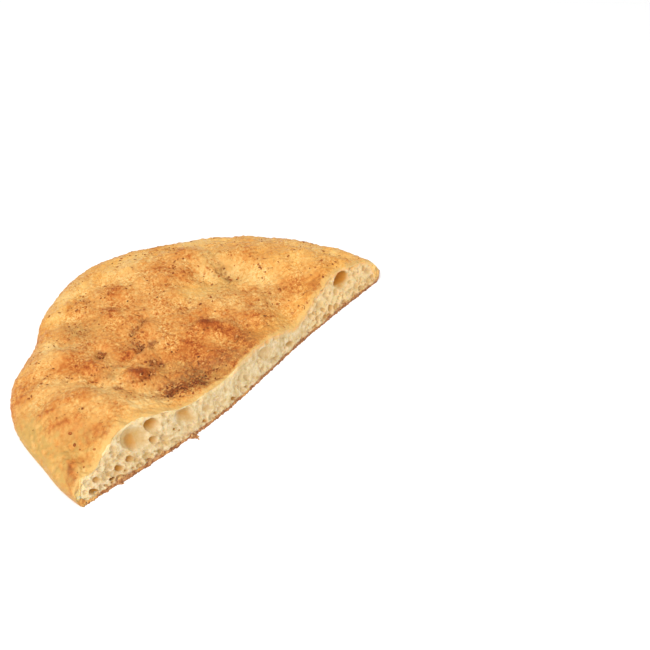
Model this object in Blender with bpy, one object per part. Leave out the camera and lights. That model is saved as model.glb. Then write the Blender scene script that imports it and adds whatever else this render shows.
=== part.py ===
"""Half of a round oregano focaccia, as cut through the middle with a bread knife.

The half loaf is one baked piece. Its flat underside lies on the ground plane, the
long cut runs along X and faces -Y, and the crust rises to a rounded rim all round.
The top crust has the swells, folds and finger dimples of a hand-pressed dough, the
cut face has the open cells of the crumb, and the largest oregano flakes are baked
into the crust.

Units are metres, +Z is up. In the bread's own plan, u runs along the cut from the
near tip to the far tip and v runs from the cut into the bread.
"""

import math
import random

import bmesh
import bpy
import numpy as np
from mathutils import Matrix, Vector
from mathutils.bvhtree import BVHTree

MM = 0.001

# Loaf
RADIUS = 130.5 * MM
CRUST_LEVEL = 18.5 * MM
WAIST_HEIGHT = 7.5 * MM
FOOT_INSET = 4.0 * MM
RIM_POWER = 8.5
PLAN_CENTRE_V = 62.65 * MM

# Cut: it wanders towards -Y by its bow, and leans back from the bottom to the top
CUT_BOW = 8.0 * MM
CUT_BOW_AT = -35.0 * MM
CUT_BOW_WIDTH = 72.0 * MM
TIP_FADE_POWER = 12
CUT_SLANT = math.radians(18.0)
SLANT_FADE = 4.0 * MM

# Mesh of the loaf: stations along the cut, and steps round each section
STATIONS = 62
TOP_STEPS = 28
FACE_STEPS = 5
BASE_STEPS = 10
STATION_CROWDING = 0.12
TOP_CROWDING = 1.35
BASE_CROWDING = 2.5
EDGE_ROUNDS = 10
SHARP_ANGLE = math.radians(50.0)

# Swells of the outline: angle from the far tip in degrees, rise in mm, width in degrees
OUTLINE_SWELLS = (
    (61.0, -1.5, 9.0),
    (85.0, 3.2, 12.0),
    (104.0, -1.6, 10.0),
    (123.0, -10.0, 13.0),
    (165.0, -2.0, 8.0),
)

# Relief of the top crust. Each form runs from one plan point to another, in mm,
# with the width over which it fades and its rise (a dimple's is negative).
CRUST_FORMS = {
    "near shoulder": ((-88, -2), (-93, 34), 23, 8.6),
    "groove behind the near tip": ((-117, 2), (-109, 20), 8, -4.6),
    "near tip hump": ((-121, 13), (-127, 3), 6, 2.2),
    "fold crest": ((-82, 34), (-64, 6), 7, 1.6),
    "fold foot": ((-69, 42), (-54, 16), 7, -1.6),
    "herb hollow": ((-46, 11), (-24, 9), 14, -3.2),
    "finger ridge": ((-56, 35), (-45, 28), 5, 2.6),
    "finger ridge foot": ((-48, 24), (-38, 27), 6, -1.8),
    "upper fold": ((-43, 52), (-37, 47), 5, 2.0),
    "upper fold pit": ((-34, 48), (-26, 48), 5, -2.0),
    "herb streak": ((-13, 64), (-28, 61), 4, -1.4),
    "dark pit": ((-51, 62), (-49, 63), 4, -1.6),
    "red-brown blister": ((0, 35), (13, 22), 6, 2.6),
    "brown blister": ((37, 19), (42, 17), 7, 1.2),
    "middle swell": ((2, 58), (8, 62), 28, 1.8),
    "waist": ((47, -4), (50, 12), 14, -6.8),
    "finger dimple": ((47, 68), (57, 60), 10, -6.0),
    "pale valley": ((30, 62), (76, 28), 11, -2.8),
    "far shoulder": ((98, -2), (94, 30), 22, 5.6),
    "back ridge": ((84, 62), (18, 106), 13, 3.2),
    "left back ridge": ((-22, 104), (-82, 72), 12, 2.2),
    "long soft ridge": ((-70, 82), (-58, 56), 8, 1.8),
    "olive hollow": ((-44, 86), (-38, 92), 12, -2.6),
    "far tip rise": ((119, 4), (123, 12), 9, 2.4),
}

# Low waves all over the crust: length and height in mm, direction in degrees, phase
CRUST_WAVES = ((41, 0.55, 24, 0.7), (29, 0.45, 118, 2.1), (19, 0.32, 71, 4.0), (14, 0.22, 160, 5.2))

# Cells of the crumb that open on the cut: place along the cut and height, the two
# half widths on the face, the depth, all in mm, and the tilt on the face in degrees.
CRUMB_CELLS = (
    (-88.2, 17.2, 9.4, 6.2, 5.4, -39),
    (-75.2, 18.3, 5.2, 3.6, 3.8, -44),
    (-76.9, 10.8, 3.0, 2.1, 2.2, -41),
    (-54.0, 12.4, 6.2, 4.2, 2.1, -48),
    (-93.6, 8.6, 3.1, 1.9, 2.2, -38),
    (-100.8, 7.3, 3.1, 2.0, 2.6, -40),
    (-106.4, 4.0, 2.2, 1.1, 2.2, -18),
    (-114.9, 8.1, 2.7, 1.8, 1.9, -40),
    (-119.2, 3.6, 3.4, 1.7, 2.2, -35),
    (-38.0, 8.2, 4.2, 2.0, 1.3, -35),
    (-3.4, 7.4, 3.7, 2.0, 1.4, -37),
    (16.3, 11.0, 6.8, 3.3, 1.8, -28),
    (38.6, 4.6, 4.1, 1.6, 1.6, -23),
    (68.0, 5.1, 2.6, 1.8, 1.8, -41),
    (71.6, 11.5, 3.8, 2.8, 1.8, -50),
    (79.0, 15.0, 3.0, 2.2, 1.8, -40),
    (81.2, 5.1, 3.3, 2.5, 2.4, -49),
    (95.8, 16.6, 6.8, 4.4, 5.0, -34),
    (119.2, 10.0, 3.2, 1.7, 1.4, -29),
)
BIG_CELL = 5.0 * MM
CELL_MOUTH_PUSH = 0.12

# Oregano: flakes gather in the hollows, and the rest lie scattered over the crust.
# Each gathering runs between two plan points in mm, with its spread and its count.
HERB_GATHERINGS = (
    ((-55, 13), (-29, 6), 3.4, 22),
    ((-30, 19), (-20, 9), 5.0, 6),
    ((-35, 46), (-25, 48), 3.0, 9),
    ((-44, 28), (-33, 32), 2.4, 8),
    ((-27, 61), (-14, 64), 1.8, 6),
    ((-51, 62), (-49, 63), 1.8, 3),
    ((50, 66), (58, 60), 3.0, 7),
    ((-72, 49), (-64, 33), 3.0, 4),
    ((6, 12), (12, 15), 2.5, 3),
)
SCATTERED_FLAKES = 38
FLAKE_SEED = 23
FLAKE_LENGTH = (2.4 * MM, 3.8 * MM)
FLAKE_WIDTH = (1.3 * MM, 1.9 * MM)
FLAKE_THICKNESS = 1.1 * MM
FLAKE_PROUD = 0.12 * MM
FLAKE_SEGMENTS = 5
FLAKE_RINGS = 4
FLAKE_FARTHEST_SHARE = 0.86
FLAKE_CUT_CLEARANCE = 4.0 * MM
FLAKE_SPACING = 0.4 * MM
SCATTER_SPACING = 12.0 * MM
TRIES_PER_FLAKE = 60
LOOK_DOWN_FROM = 100.0 * MM


def clear_scene():
    """Remove every object, so that the file holds the loaf alone."""
    for thing in list(bpy.data.objects):
        bpy.data.objects.remove(thing)


def material(name, colour, roughness):
    """A plain Principled material."""
    made = bpy.data.materials.new(name)
    made.use_nodes = True
    shader = made.node_tree.nodes["Principled BSDF"]
    shader.inputs["Base Color"].default_value = (*colour, 1.0)
    shader.inputs["Roughness"].default_value = roughness
    shader.inputs["Metallic"].default_value = 0.0
    return made


def bell(distance, width):
    """1 at the middle, fading smoothly to nothing past the width."""
    return np.exp(-(distance / width) ** 2)


def outline_radius(angle):
    """Plan radius of the rim at an angle from the far tip, in radians."""
    degrees = np.degrees(angle)
    radius = np.full_like(degrees, RADIUS)
    for place, rise, width in OUTLINE_SWELLS:
        radius = radius + rise * MM * bell(degrees - place, width)
    return radius


def cut_line(u):
    """Where the cut meets the underside: v for each place along the cut."""
    fade = np.clip(1.0 - np.abs(u / RADIUS) ** TIP_FADE_POWER, 0.0, 1.0)
    return -CUT_BOW * bell(u - CUT_BOW_AT, CUT_BOW_WIDTH) * fade


def distance_to_run(u, v, start, end):
    """Plan distance from each point to the straight run between two points."""
    run_u = end[0] - start[0]
    run_v = end[1] - start[1]
    along = ((u - start[0]) * run_u + (v - start[1]) * run_v) / (run_u ** 2 + run_v ** 2)
    along = np.clip(along, 0.0, 1.0)
    return np.hypot(u - start[0] - along * run_u, v - start[1] - along * run_v)


def crust_relief(u, v):
    """Height that the top crust would have with no rim: level, forms and low waves."""
    height = np.full_like(u, CRUST_LEVEL)
    for start, end, width, rise in CRUST_FORMS.values():
        start_m = (start[0] * MM, start[1] * MM)
        end_m = (end[0] * MM, end[1] * MM)
        height = height + rise * MM * bell(distance_to_run(u, v, start_m, end_m), width * MM)
    for length, rise, direction, phase in CRUST_WAVES:
        turn = math.radians(direction)
        across = (u * math.cos(turn) + v * math.sin(turn)) / (length * MM)
        height = height + rise * MM * np.sin(2 * math.pi * across + phase)
    return height


def share_of_radius(u, v):
    """0 at the middle of the cut, 1 on the rim."""
    angle = np.clip(np.arctan2(v, u), 0.0, math.pi)
    return np.clip(np.hypot(u, v) / outline_radius(angle), 0.0, 1.0)


def top_height(u, v):
    """The top crust: its relief, rounded down to the waist of the rim."""
    rounding = np.sqrt(1.0 - share_of_radius(u, v) ** RIM_POWER)
    return WAIST_HEIGHT + (crust_relief(u, v) - WAIST_HEIGHT) * rounding


def under_height(u, v):
    """The underside: flat, with a quarter round from the foot up to the waist."""
    foot = FOOT_INSET / RADIUS
    out = np.clip((share_of_radius(u, v) - (1.0 - foot)) / foot, 0.0, 1.0)
    return WAIST_HEIGHT * (1.0 - np.sqrt(1.0 - out ** 2))


def cut_edge(u, depth):
    """Plan place and height of the crust's edge, where the slanted cut comes out on top.

    The edge lies behind the foot of the cut by the slant times its own height, so it
    is found by repeating that rule until it settles. At the tips the slant fades out.
    """
    foot = cut_line(u)
    slant = math.tan(CUT_SLANT) * depth / (depth + SLANT_FADE)
    edge = foot
    for _ in range(EDGE_ROUNDS):
        edge = foot + slant * top_height(u, edge)
    return edge, top_height(u, edge)


def loaf_point(station, step):
    """A point of the loaf from its station (0 far tip to 1 near tip) and section step."""
    turn = math.pi * station
    angle = turn + STATION_CROWDING * np.sin(2.0 * turn)
    radius = outline_radius(angle)
    u = radius * np.cos(angle)
    rim_v = radius * np.sin(angle)
    foot_v = cut_line(u)
    edge_v, edge_z = cut_edge(u, rim_v)
    foot_z = under_height(u, foot_v)

    top_share = 1.0 - np.clip(step / TOP_STEPS, 0.0, 1.0) ** TOP_CROWDING
    top_v = edge_v + top_share * (rim_v - edge_v)
    down = np.clip((step - TOP_STEPS) / FACE_STEPS, 0.0, 1.0)
    face_v = edge_v + down * (foot_v - edge_v)
    face_z = edge_z + down * (foot_z - edge_z)
    left = TOP_STEPS + FACE_STEPS + BASE_STEPS - step
    base_share = 1.0 - np.clip(left / BASE_STEPS, 0.0, 1.0) ** BASE_CROWDING
    base_v = foot_v + base_share * (rim_v - foot_v)

    on_top = step <= TOP_STEPS
    on_face = (step > TOP_STEPS) & (step <= TOP_STEPS + FACE_STEPS)
    v = np.where(on_top, top_v, np.where(on_face, face_v, base_v))
    z = np.where(on_top, top_height(u, top_v), np.where(on_face, face_z, under_height(u, base_v)))
    return np.stack([u, v - PLAN_CENTRE_V, z], axis=1)


def build_loaf(crust, crumb, herb):
    """A sphere with its poles on the tips of the cut, drawn out to the loaf's surface."""
    steps = TOP_STEPS + FACE_STEPS + BASE_STEPS
    bpy.ops.mesh.primitive_uv_sphere_add(segments=steps, ring_count=STATIONS, radius=1.0)
    loaf = bpy.context.object
    loaf.name = "focaccia"
    mesh = loaf.data
    mesh.name = "focaccia"

    ball = np.empty(len(mesh.vertices) * 3)
    mesh.vertices.foreach_get("co", ball)
    ball = ball.reshape(-1, 3)
    station = np.rint(np.arccos(np.clip(ball[:, 2], -1.0, 1.0)) / math.pi * STATIONS) / STATIONS
    step = np.rint(np.arctan2(ball[:, 1], ball[:, 0]) / (2.0 * math.pi) * steps) % steps
    at_tip = (station == 0.0) | (station == 1.0)
    points = loaf_point(station, np.where(at_tip, 0.0, step))
    mesh.vertices.foreach_set("co", points.ravel())

    for finish in (crust, crumb, herb):
        mesh.materials.append(finish)
    for face in mesh.polygons:
        face_steps = [step[i] for i in face.vertices if not at_tip[i]]
        on_cut = min(face_steps) >= TOP_STEPS and max(face_steps) <= TOP_STEPS + FACE_STEPS
        face.material_index = 1 if on_cut else 0
    mesh.shade_smooth()
    mesh.set_sharp_from_angle(angle=SHARP_ANGLE)
    mesh.update()
    return loaf


def new_object(name, shape, collection, finish):
    """Put a bmesh into a new object of a collection."""
    mesh = bpy.data.meshes.new(name)
    shape.to_mesh(mesh)
    shape.free()
    mesh.materials.append(finish)
    made = bpy.data.objects.new(name, mesh)
    collection.objects.link(made)
    return made


def build_cell(number, cell, collection, crumb):
    """One cell of the crumb: an ellipsoid laid into the slanted face, open to the front."""
    u, height, half_length, half_height, depth = (value * MM for value in cell[:5])
    tilt = math.radians(cell[5])
    foot = float(cut_line(np.array([u]))[0])
    out = Vector((0.0, -math.cos(CUT_SLANT), math.sin(CUT_SLANT)))
    up = Vector((0.0, math.sin(CUT_SLANT), math.cos(CUT_SLANT)))
    along = Vector((1.0, 0.0, 0.0))
    long_axis = along * math.cos(tilt) + up * math.sin(tilt)
    short_axis = up * math.cos(tilt) - along * math.sin(tilt)
    middle = Vector((u, foot - PLAN_CENTRE_V + height * math.tan(CUT_SLANT), height))
    middle -= out * depth * CELL_MOUTH_PUSH
    frame = Matrix.Identity(4)
    axes = (long_axis * half_length, short_axis * half_height, -out * depth)
    for column, axis in enumerate(axes):
        for row in range(3):
            frame[row][column] = axis[row]
    for row in range(3):
        frame[row][3] = middle[row]

    shape = bmesh.new()
    fineness = 3 if half_length >= BIG_CELL else 2
    bmesh.ops.create_icosphere(shape, subdivisions=fineness, radius=1.0, matrix=frame)
    bmesh.ops.recalc_face_normals(shape, faces=shape.faces)
    cutter = new_object(f"cell_{number}", shape, collection, crumb)
    cutter.hide_render = True
    cutter.display_type = "WIRE"
    return cutter


def flake_places(draw):
    """Plan places of the flakes with their lengths: the gatherings first, then the scatter.

    A place is kept if it lies on the open crust and clears every flake before it.
    """
    kept = []

    def try_place(u, v, length):
        on_crust = share_of_radius(np.array([u]), np.array([v]))[0] < FLAKE_FARTHEST_SHARE
        edge, _ = cut_edge(np.array([u]), np.array([RADIUS]))
        if not on_crust or v < edge[0] + FLAKE_CUT_CLEARANCE:
            return False
        for other_u, other_v, other_length in kept:
            reach = 0.5 * (length + other_length) + FLAKE_SPACING
            if math.hypot(u - other_u, v - other_v) < reach:
                return False
        kept.append((u, v, length))
        return True

    for start, end, spread, count in HERB_GATHERINGS:
        left = count
        for _ in range(TRIES_PER_FLAKE * count):
            if left == 0:
                break
            along = draw.random()
            u = (start[0] + along * (end[0] - start[0]) + draw.gauss(0.0, spread)) * MM
            v = (start[1] + along * (end[1] - start[1]) + draw.gauss(0.0, spread)) * MM
            if try_place(u, v, draw.uniform(*FLAKE_LENGTH)):
                left -= 1
    left = SCATTERED_FLAKES
    while left > 0:
        angle = draw.uniform(0.0, math.pi)
        reach = RADIUS * math.sqrt(draw.random())
        u = reach * math.cos(angle)
        v = reach * math.sin(angle)
        near = min(math.hypot(u - a, v - b) for a, b, _ in kept)
        if near > SCATTER_SPACING and try_place(u, v, draw.uniform(*FLAKE_LENGTH)):
            left -= 1
    return kept


def build_flakes(loaf, collection, herb):
    """Oregano flakes: flat lens shapes that lie on the crust, half sunk into it."""
    draw = random.Random(FLAKE_SEED)
    surface = BVHTree.FromObject(loaf, bpy.context.evaluated_depsgraph_get())
    for number, (u, v, length) in enumerate(flake_places(draw)):
        above = Vector((u, v - PLAN_CENTRE_V, LOOK_DOWN_FROM))
        place, normal, _, _ = surface.ray_cast(above, Vector((0.0, 0.0, -1.0)))
        width = draw.uniform(*FLAKE_WIDTH)
        turn = Matrix.Rotation(draw.uniform(0.0, math.pi), 4, "Z")
        lean = normal.to_track_quat("Z", "Y").to_matrix().to_4x4()
        size = Matrix.Diagonal((length / 2, width / 2, FLAKE_THICKNESS / 2, 1.0))
        seat = Matrix.Translation(place + normal * FLAKE_PROUD)
        shape = bmesh.new()
        bmesh.ops.create_uvsphere(
            shape,
            u_segments=FLAKE_SEGMENTS,
            v_segments=FLAKE_RINGS,
            radius=1.0,
            matrix=seat @ lean @ turn @ size,
        )
        new_object(f"flake_{number}", shape, collection, herb)


def fuse_flakes(loaf, flakes):
    """Join the flakes to the crust with one union, and remove the loose ones."""
    union = loaf.modifiers.new("oregano", "BOOLEAN")
    union.operation = "UNION"
    union.operand_type = "COLLECTION"
    union.collection = flakes
    union.solver = "EXACT"
    union.material_mode = "TRANSFER"
    evaluated = loaf.evaluated_get(bpy.context.evaluated_depsgraph_get())
    fused = bpy.data.meshes.new_from_object(evaluated)
    loaf.modifiers.clear()
    loaf.data = fused
    fused.name = "focaccia"
    for flake in list(flakes.objects):
        bpy.data.objects.remove(flake)
    bpy.data.collections.remove(flakes)


def cut_cells(loaf, cutters):
    """Open the crumb's cells on the cut face."""
    opening = loaf.modifiers.new("crumb cells", "BOOLEAN")
    opening.operation = "DIFFERENCE"
    opening.operand_type = "COLLECTION"
    opening.collection = cutters
    opening.solver = "EXACT"
    opening.material_mode = "TRANSFER"


def main():
    clear_scene()
    bread = bpy.data.collections.new("oregano_focaccia")
    cutters = bpy.data.collections.new("cutters")
    flakes = bpy.data.collections.new("oregano_flakes")
    for collection in (bread, cutters, flakes):
        bpy.context.scene.collection.children.link(collection)

    crust = material("crust", (0.78, 0.46, 0.13), 0.55)
    crumb = material("crumb", (0.88, 0.78, 0.55), 0.8)
    herb = material("oregano", (0.2, 0.13, 0.05), 0.85)

    loaf = build_loaf(crust, crumb, herb)
    for home in list(loaf.users_collection):
        home.objects.unlink(loaf)
    bread.objects.link(loaf)
    bpy.context.view_layer.update()

    build_flakes(loaf, flakes, herb)
    bpy.context.view_layer.update()
    fuse_flakes(loaf, flakes)
    for number, cell in enumerate(CRUMB_CELLS, start=1):
        build_cell(number, cell, cutters, crumb)
    cut_cells(loaf, cutters)


main()
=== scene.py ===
import math

import bpy
import numpy as np
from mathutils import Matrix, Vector


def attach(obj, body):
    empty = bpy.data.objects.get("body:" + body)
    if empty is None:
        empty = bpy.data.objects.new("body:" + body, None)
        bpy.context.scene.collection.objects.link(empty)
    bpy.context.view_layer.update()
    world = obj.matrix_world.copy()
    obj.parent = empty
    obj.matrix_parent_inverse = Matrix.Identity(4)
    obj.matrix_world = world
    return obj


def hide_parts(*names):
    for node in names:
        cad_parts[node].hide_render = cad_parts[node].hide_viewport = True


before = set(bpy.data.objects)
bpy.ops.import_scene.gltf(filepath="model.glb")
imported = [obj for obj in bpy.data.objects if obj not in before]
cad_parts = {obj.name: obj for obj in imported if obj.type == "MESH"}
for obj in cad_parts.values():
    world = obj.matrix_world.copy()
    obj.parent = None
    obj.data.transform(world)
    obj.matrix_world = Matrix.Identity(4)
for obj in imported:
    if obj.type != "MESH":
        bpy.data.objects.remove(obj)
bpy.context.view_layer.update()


# Crust: the baked skin of the half loaf, golden and oily on top, browned underneath.
# It is wheat dough, pressed out and dimpled with the fingers, baked on a flat tray.
# It closes round the loaf and ends in a thin lip at the cut, behind which the crumb sits.

# All lengths are in millimetres. u runs along the cut, v from the cut into the bread.
RADIUS = 130.5
CRUST_LEVEL = 18.5
WAIST_HEIGHT = 7.5
FOOT_INSET = 4.0
RIM_POWER = 8.5
PLAN_CENTRE_V = 62.65
CUT_BOW = 8.0
CUT_BOW_AT = -35.0
CUT_BOW_WIDTH = 72.0
TIP_FADE_POWER = 12
CUT_SLANT = math.radians(18.0)
SLANT_FADE = 4.0
EDGE_ROUNDS = 10
STATION_CROWDING = 0.12
CRUST_STATIONS = 410
TOP_STEPS = 160
BASE_STEPS = 26
BASE_CROWDING = 2.0
RIM_CROWDING = 0.75
RIM_CROWDING_REACH = 0.03

# Swells of the outline: angle from the far tip in degrees, rise, width in degrees
OUTLINE_SWELLS = (
    (61.0, -1.5, 9.0),
    (85.0, 3.2, 12.0),
    (104.0, -1.6, 10.0),
    (123.0, -10.0, 13.0),
    (165.0, -2.0, 8.0),
)

# Relief of the top: each form runs between two plan points, with its width and its rise
CRUST_FORMS = {
    "near shoulder": ((-88, -2), (-93, 34), 23, 8.6),
    "groove behind the near tip": ((-117, 2), (-109, 20), 8, -4.6),
    "near tip hump": ((-121, 13), (-127, 3), 6, 2.2),
    "fold crest": ((-82, 34), (-64, 6), 7, 1.6),
    "fold foot": ((-69, 42), (-54, 16), 7, -1.6),
    "herb hollow": ((-46, 11), (-24, 9), 14, -3.2),
    "finger ridge": ((-56, 35), (-45, 28), 5, 2.6),
    "finger ridge foot": ((-48, 24), (-38, 27), 6, -1.8),
    "upper fold": ((-43, 52), (-37, 47), 5, 2.0),
    "upper fold pit": ((-34, 48), (-26, 48), 5, -2.0),
    "herb streak": ((-13, 64), (-28, 61), 4, -1.4),
    "dark pit": ((-51, 62), (-49, 63), 4, -1.6),
    "red-brown blister": ((0, 35), (13, 22), 6, 2.6),
    "brown blister": ((37, 19), (42, 17), 7, 1.2),
    "middle swell": ((2, 58), (8, 62), 28, 1.8),
    "waist": ((47, -4), (50, 12), 14, -6.8),
    "finger dimple": ((47, 68), (57, 60), 10, -6.0),
    "pale valley": ((30, 62), (76, 28), 11, -2.8),
    "far shoulder": ((98, -2), (94, 30), 22, 5.6),
    "back ridge": ((84, 62), (18, 106), 13, 3.2),
    "left back ridge": ((-22, 104), (-82, 72), 12, 2.2),
    "long soft ridge": ((-70, 82), (-58, 56), 8, 1.8),
    "olive hollow": ((-44, 86), (-38, 92), 12, -2.6),
    "far tip rise": ((119, 4), (123, 12), 9, 2.4),
}

# Low waves all over the crust: length, height, direction in degrees, phase
CRUST_WAVES = ((41, 0.55, 24, 0.7), (29, 0.45, 118, 2.1), (19, 0.32, 71, 4.0), (14, 0.22, 160, 5.2))


def bell(distance, width):
    """1 at the middle, fading as exp(-(distance / width)^2)."""
    return np.exp(-(distance / width) ** 2)


def fade(value, low, high):
    """0 below low, 1 above high, and the smooth 3x^2 - 2x^3 between them."""
    share = np.clip((value - low) / (high - low), 0.0, 1.0)
    return share * share * (3.0 - 2.0 * share)


def swells(along, rows, base=0.0):
    """A base value plus a bell for each row, which is a place, a rise and a width."""
    return sum((rise * bell(along - place, width) for place, rise, width in rows), base)


def outline_radius(angle):
    """Plan radius of the rim: a circle plus the swells of the outline."""
    return RADIUS + swells(np.degrees(angle), OUTLINE_SWELLS)


def cut_line(u):
    """Foot of the cut: a bell-shaped bow towards -v that dies out at the tips."""
    dying = np.clip(1.0 - np.abs(u / RADIUS) ** TIP_FADE_POWER, 0.0, 1.0)
    return -CUT_BOW * bell(u - CUT_BOW_AT, CUT_BOW_WIDTH) * dying


def distance_to_run(u, v, start, end):
    """Plan distance from each point to the straight run between two points."""
    run_u = end[0] - start[0]
    run_v = end[1] - start[1]
    along = ((u - start[0]) * run_u + (v - start[1]) * run_v) / (run_u ** 2 + run_v ** 2)
    along = np.clip(along, 0.0, 1.0)
    return np.hypot(u - start[0] - along * run_u, v - start[1] - along * run_v)


def crust_relief(u, v):
    """Level of the crust plus a bell along each form's run, plus the low sine waves."""
    height = np.full_like(u, CRUST_LEVEL)
    for start, end, width, rise in CRUST_FORMS.values():
        height = height + rise * bell(distance_to_run(u, v, start, end), width)
    for length, rise, direction, phase in CRUST_WAVES:
        turn = math.radians(direction)
        across = (u * math.cos(turn) + v * math.sin(turn)) / length
        height = height + rise * np.sin(2 * math.pi * across + phase)
    return height


def share_of_radius(u, v):
    """0 at the middle of the cut, 1 on the rim."""
    angle = np.clip(np.arctan2(v, u), 0.0, math.pi)
    return np.clip(np.hypot(u, v) / outline_radius(angle), 0.0, 1.0)


def top_height(u, v):
    """The relief, rounded down to the waist of the rim by sqrt(1 - share^power)."""
    rounding = np.sqrt(1.0 - share_of_radius(u, v) ** RIM_POWER)
    return WAIST_HEIGHT + (crust_relief(u, v) - WAIST_HEIGHT) * rounding


def under_height(u, v):
    """The underside: flat, with a quarter round from the foot up to the waist."""
    foot = FOOT_INSET / RADIUS
    out = np.clip((share_of_radius(u, v) - (1.0 - foot)) / foot, 0.0, 1.0)
    return WAIST_HEIGHT * (1.0 - np.sqrt(1.0 - out ** 2))


def cut_edge(u, depth):
    """Place and height of the crust's edge: behind the foot by the slant times its height.

    The height depends on the place in turn, so the two are found in a few rounds.
    """
    foot = cut_line(u)
    slant = math.tan(CUT_SLANT) * depth / (depth + SLANT_FADE)
    edge = foot
    for _ in range(EDGE_ROUNDS):
        edge = foot + slant * top_height(u, edge)
    return edge, top_height(u, edge)


WAVE_LENGTHS = (0.75, 1.35)


def ripples(place, length, seed, waves=16):
    """Sine waves of about one length in random directions in space, added, with a spread of 1."""
    draw = np.random.default_rng(seed)
    directions = draw.normal(size=(waves, 3))
    directions /= np.linalg.norm(directions, axis=1)[:, None]
    lengths = length * draw.uniform(*WAVE_LENGTHS, waves)
    phases = draw.uniform(0.0, 2.0 * math.pi, waves)
    total = np.zeros(place.shape[:-1])
    for direction, wave, phase in zip(directions, lengths, phases):
        total += np.sin(2.0 * math.pi * (place @ direction) / wave + phase)
    return total / math.sqrt(waves / 2.0)


def rippled(place, kind, strength=1.0):
    """Ripples of one kind, a height with a length and a seed, made stronger or weaker in places."""
    height, *waves = kind
    return height * strength * ripples(place, *waves)


def spot(place, at_u, at_v, width):
    """A bell round one plan place."""
    return bell(np.hypot(place[..., 0] - at_u, place[..., 1] - at_v), width)


BLISTERS = 260
BLISTER_SEED = 7
BLISTER_REACH = 0.97
BLISTER_WIDTH = (0.9, 3.2)
BLISTER_RISE = (0.12, 0.55)


def blister_relief(place):
    """Small domes blown up in the oven: one bell for each, scattered over the crust."""
    draw = np.random.default_rng(BLISTER_SEED)
    turn = math.pi * draw.random(BLISTERS)
    reach = RADIUS * BLISTER_REACH * np.sqrt(draw.random(BLISTERS))
    widths = draw.uniform(*BLISTER_WIDTH, BLISTERS)
    rises = draw.uniform(*BLISTER_RISE, BLISTERS) * widths / BLISTER_WIDTH[1]
    total = np.zeros(place.shape[:-1])
    for at_u, at_v, width, rise in zip(reach * np.cos(turn), reach * np.sin(turn), widths, rises):
        total += rise * spot(place, at_u, at_v, width)
    return total


# Creases and small ridges of the skin: each runs between two plan points, with its width and rise
CREASES = {
    "finger ridge crest": ((-55, 42), (-46.3, 38.2), 2.0, 0.9),
    "finger ridge crest end": ((-46.3, 38.2), (-40, 37.3), 1.8, 0.9),
    "finger ridge edge": ((-60, 33), (-52, 28), 1.4, -1.0),
    "finger ridge edge end": ((-52, 28), (-42, 27), 1.5, -1.1),
    "finger ridge nose": ((-46, 29), (-44, 28.3), 1.4, -0.7),
    "lip below the finger ridge": ((-58, 29), (-50, 25), 1.8, 0.5),
    "fold crest": ((-46.4, 43), (-34, 43.4), 1.8, 1.2),
    "fold crest end": ((-34, 43.4), (-17, 43), 2.1, 1.1),
    "fold line": ((-45, 46.4), (-37, 46.6), 1.3, -0.9),
    "fold pit": ((-37, 46.8), (-31.5, 48.4), 1.8, -1.6),
    "fold pit back": ((-32, 55), (-31.5, 48.4), 1.8, -1.3),
    "fold pit end": ((-31.5, 48.4), (-25, 46.8), 1.5, -1.3),
    "upper fold nose": ((-44, 51), (-38.5, 49.5), 2.6, 0.9),
    "herb groove": ((-39, 35.5), (-33, 32), 1.8, -1.4),
    "dark pit": ((-51.2, 61.8), (-49.6, 63), 1.9, -1.6),
    "dark pit tail": ((-51, 62), (-59, 58), 1.5, -0.7),
    "streak": ((-27, 62), (-19, 63), 1.5, -0.9),
    "streak end": ((-19, 63), (-11, 66.5), 1.5, -1.0),
    "blister edge": ((-4, 34), (3, 31), 1.5, -0.8),
    "blister edge end": ((3, 31), (10, 23.5), 1.6, -1.0),
    "blister dome": ((3, 36), (15, 26), 3.8, 0.9),
    "left fold mark": ((-72, 53.5), (-66, 50.5), 1.6, -0.9),
    "fold mark": ((-76, 42), (-69, 44.5), 1.5, -0.8),
    "left soft fold": ((-64, 41.5), (-57, 44), 2.2, 0.7),
    "herb spot": ((-67.5, 33.4), (-64.5, 32.6), 1.5, -1.0),
    "pale groove": ((-109.5, 24), (-106, 10), 1.8, -0.8),
    "shoulder edge fold": ((-91, 10), (-86, 5), 1.5, -0.7),
    "tip groove": ((-116, 20), (-104, 25), 1.9, -0.5),
    "dimple slit": ((57, 80), (55.5, 68), 1.7, -1.0),
    "dimple slit end": ((55.5, 68), (57, 56.5), 2.1, -1.5),
    "dimple lip": ((52, 74), (51, 62), 2.4, 0.5),
    "waist mark": ((44, 56), (51, 53), 1.8, -0.8),
    "left pit": ((-80.5, 58.5), (-78.5, 59), 1.5, -0.9),
    "far mark": ((71, 49), (73, 48), 1.4, -0.7),
    "near mark": ((7, 13), (10, 14.5), 1.5, -0.9),
    "cut mark": ((58, 7), (64, 8), 1.3, -0.6),
    "back spot": ((-32, 104), (-28, 106), 2.0, -0.8),
    "long groove": ((-30, 24), (-12, 20), 3.0, -0.5),
    "middle groove": ((-8, 60), (14, 51), 2.5, -0.5),
}

# Ripples of the skin: height, length, seed, and the number of waves
LUMPS = (0.38, 17.0, 32, 16)
WRINKLES = (0.26, 7.5, 33, 16)
STRETCH_MARKS = (0.16, 2.6, 34, 16)
PEEL = (0.17, 3.0, 35, 24)

# Where the wrinkles are strong: length and seed of the ripples, over which range of them the
# strength grows, and the least strength
WRINKLED_FIELDS = (38.0, 31)
WRINKLED_FROM = (-0.6, 1.0)
LEAST_WRINKLED = 0.55

RIM_CALM = 0.6
RIM_CALM_FROM = (0.88, 0.99)
STRETCHED_AT = (-112.0, 38.0, 34.0)
STRETCH = (0.28, 1.0, 1.0)


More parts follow.
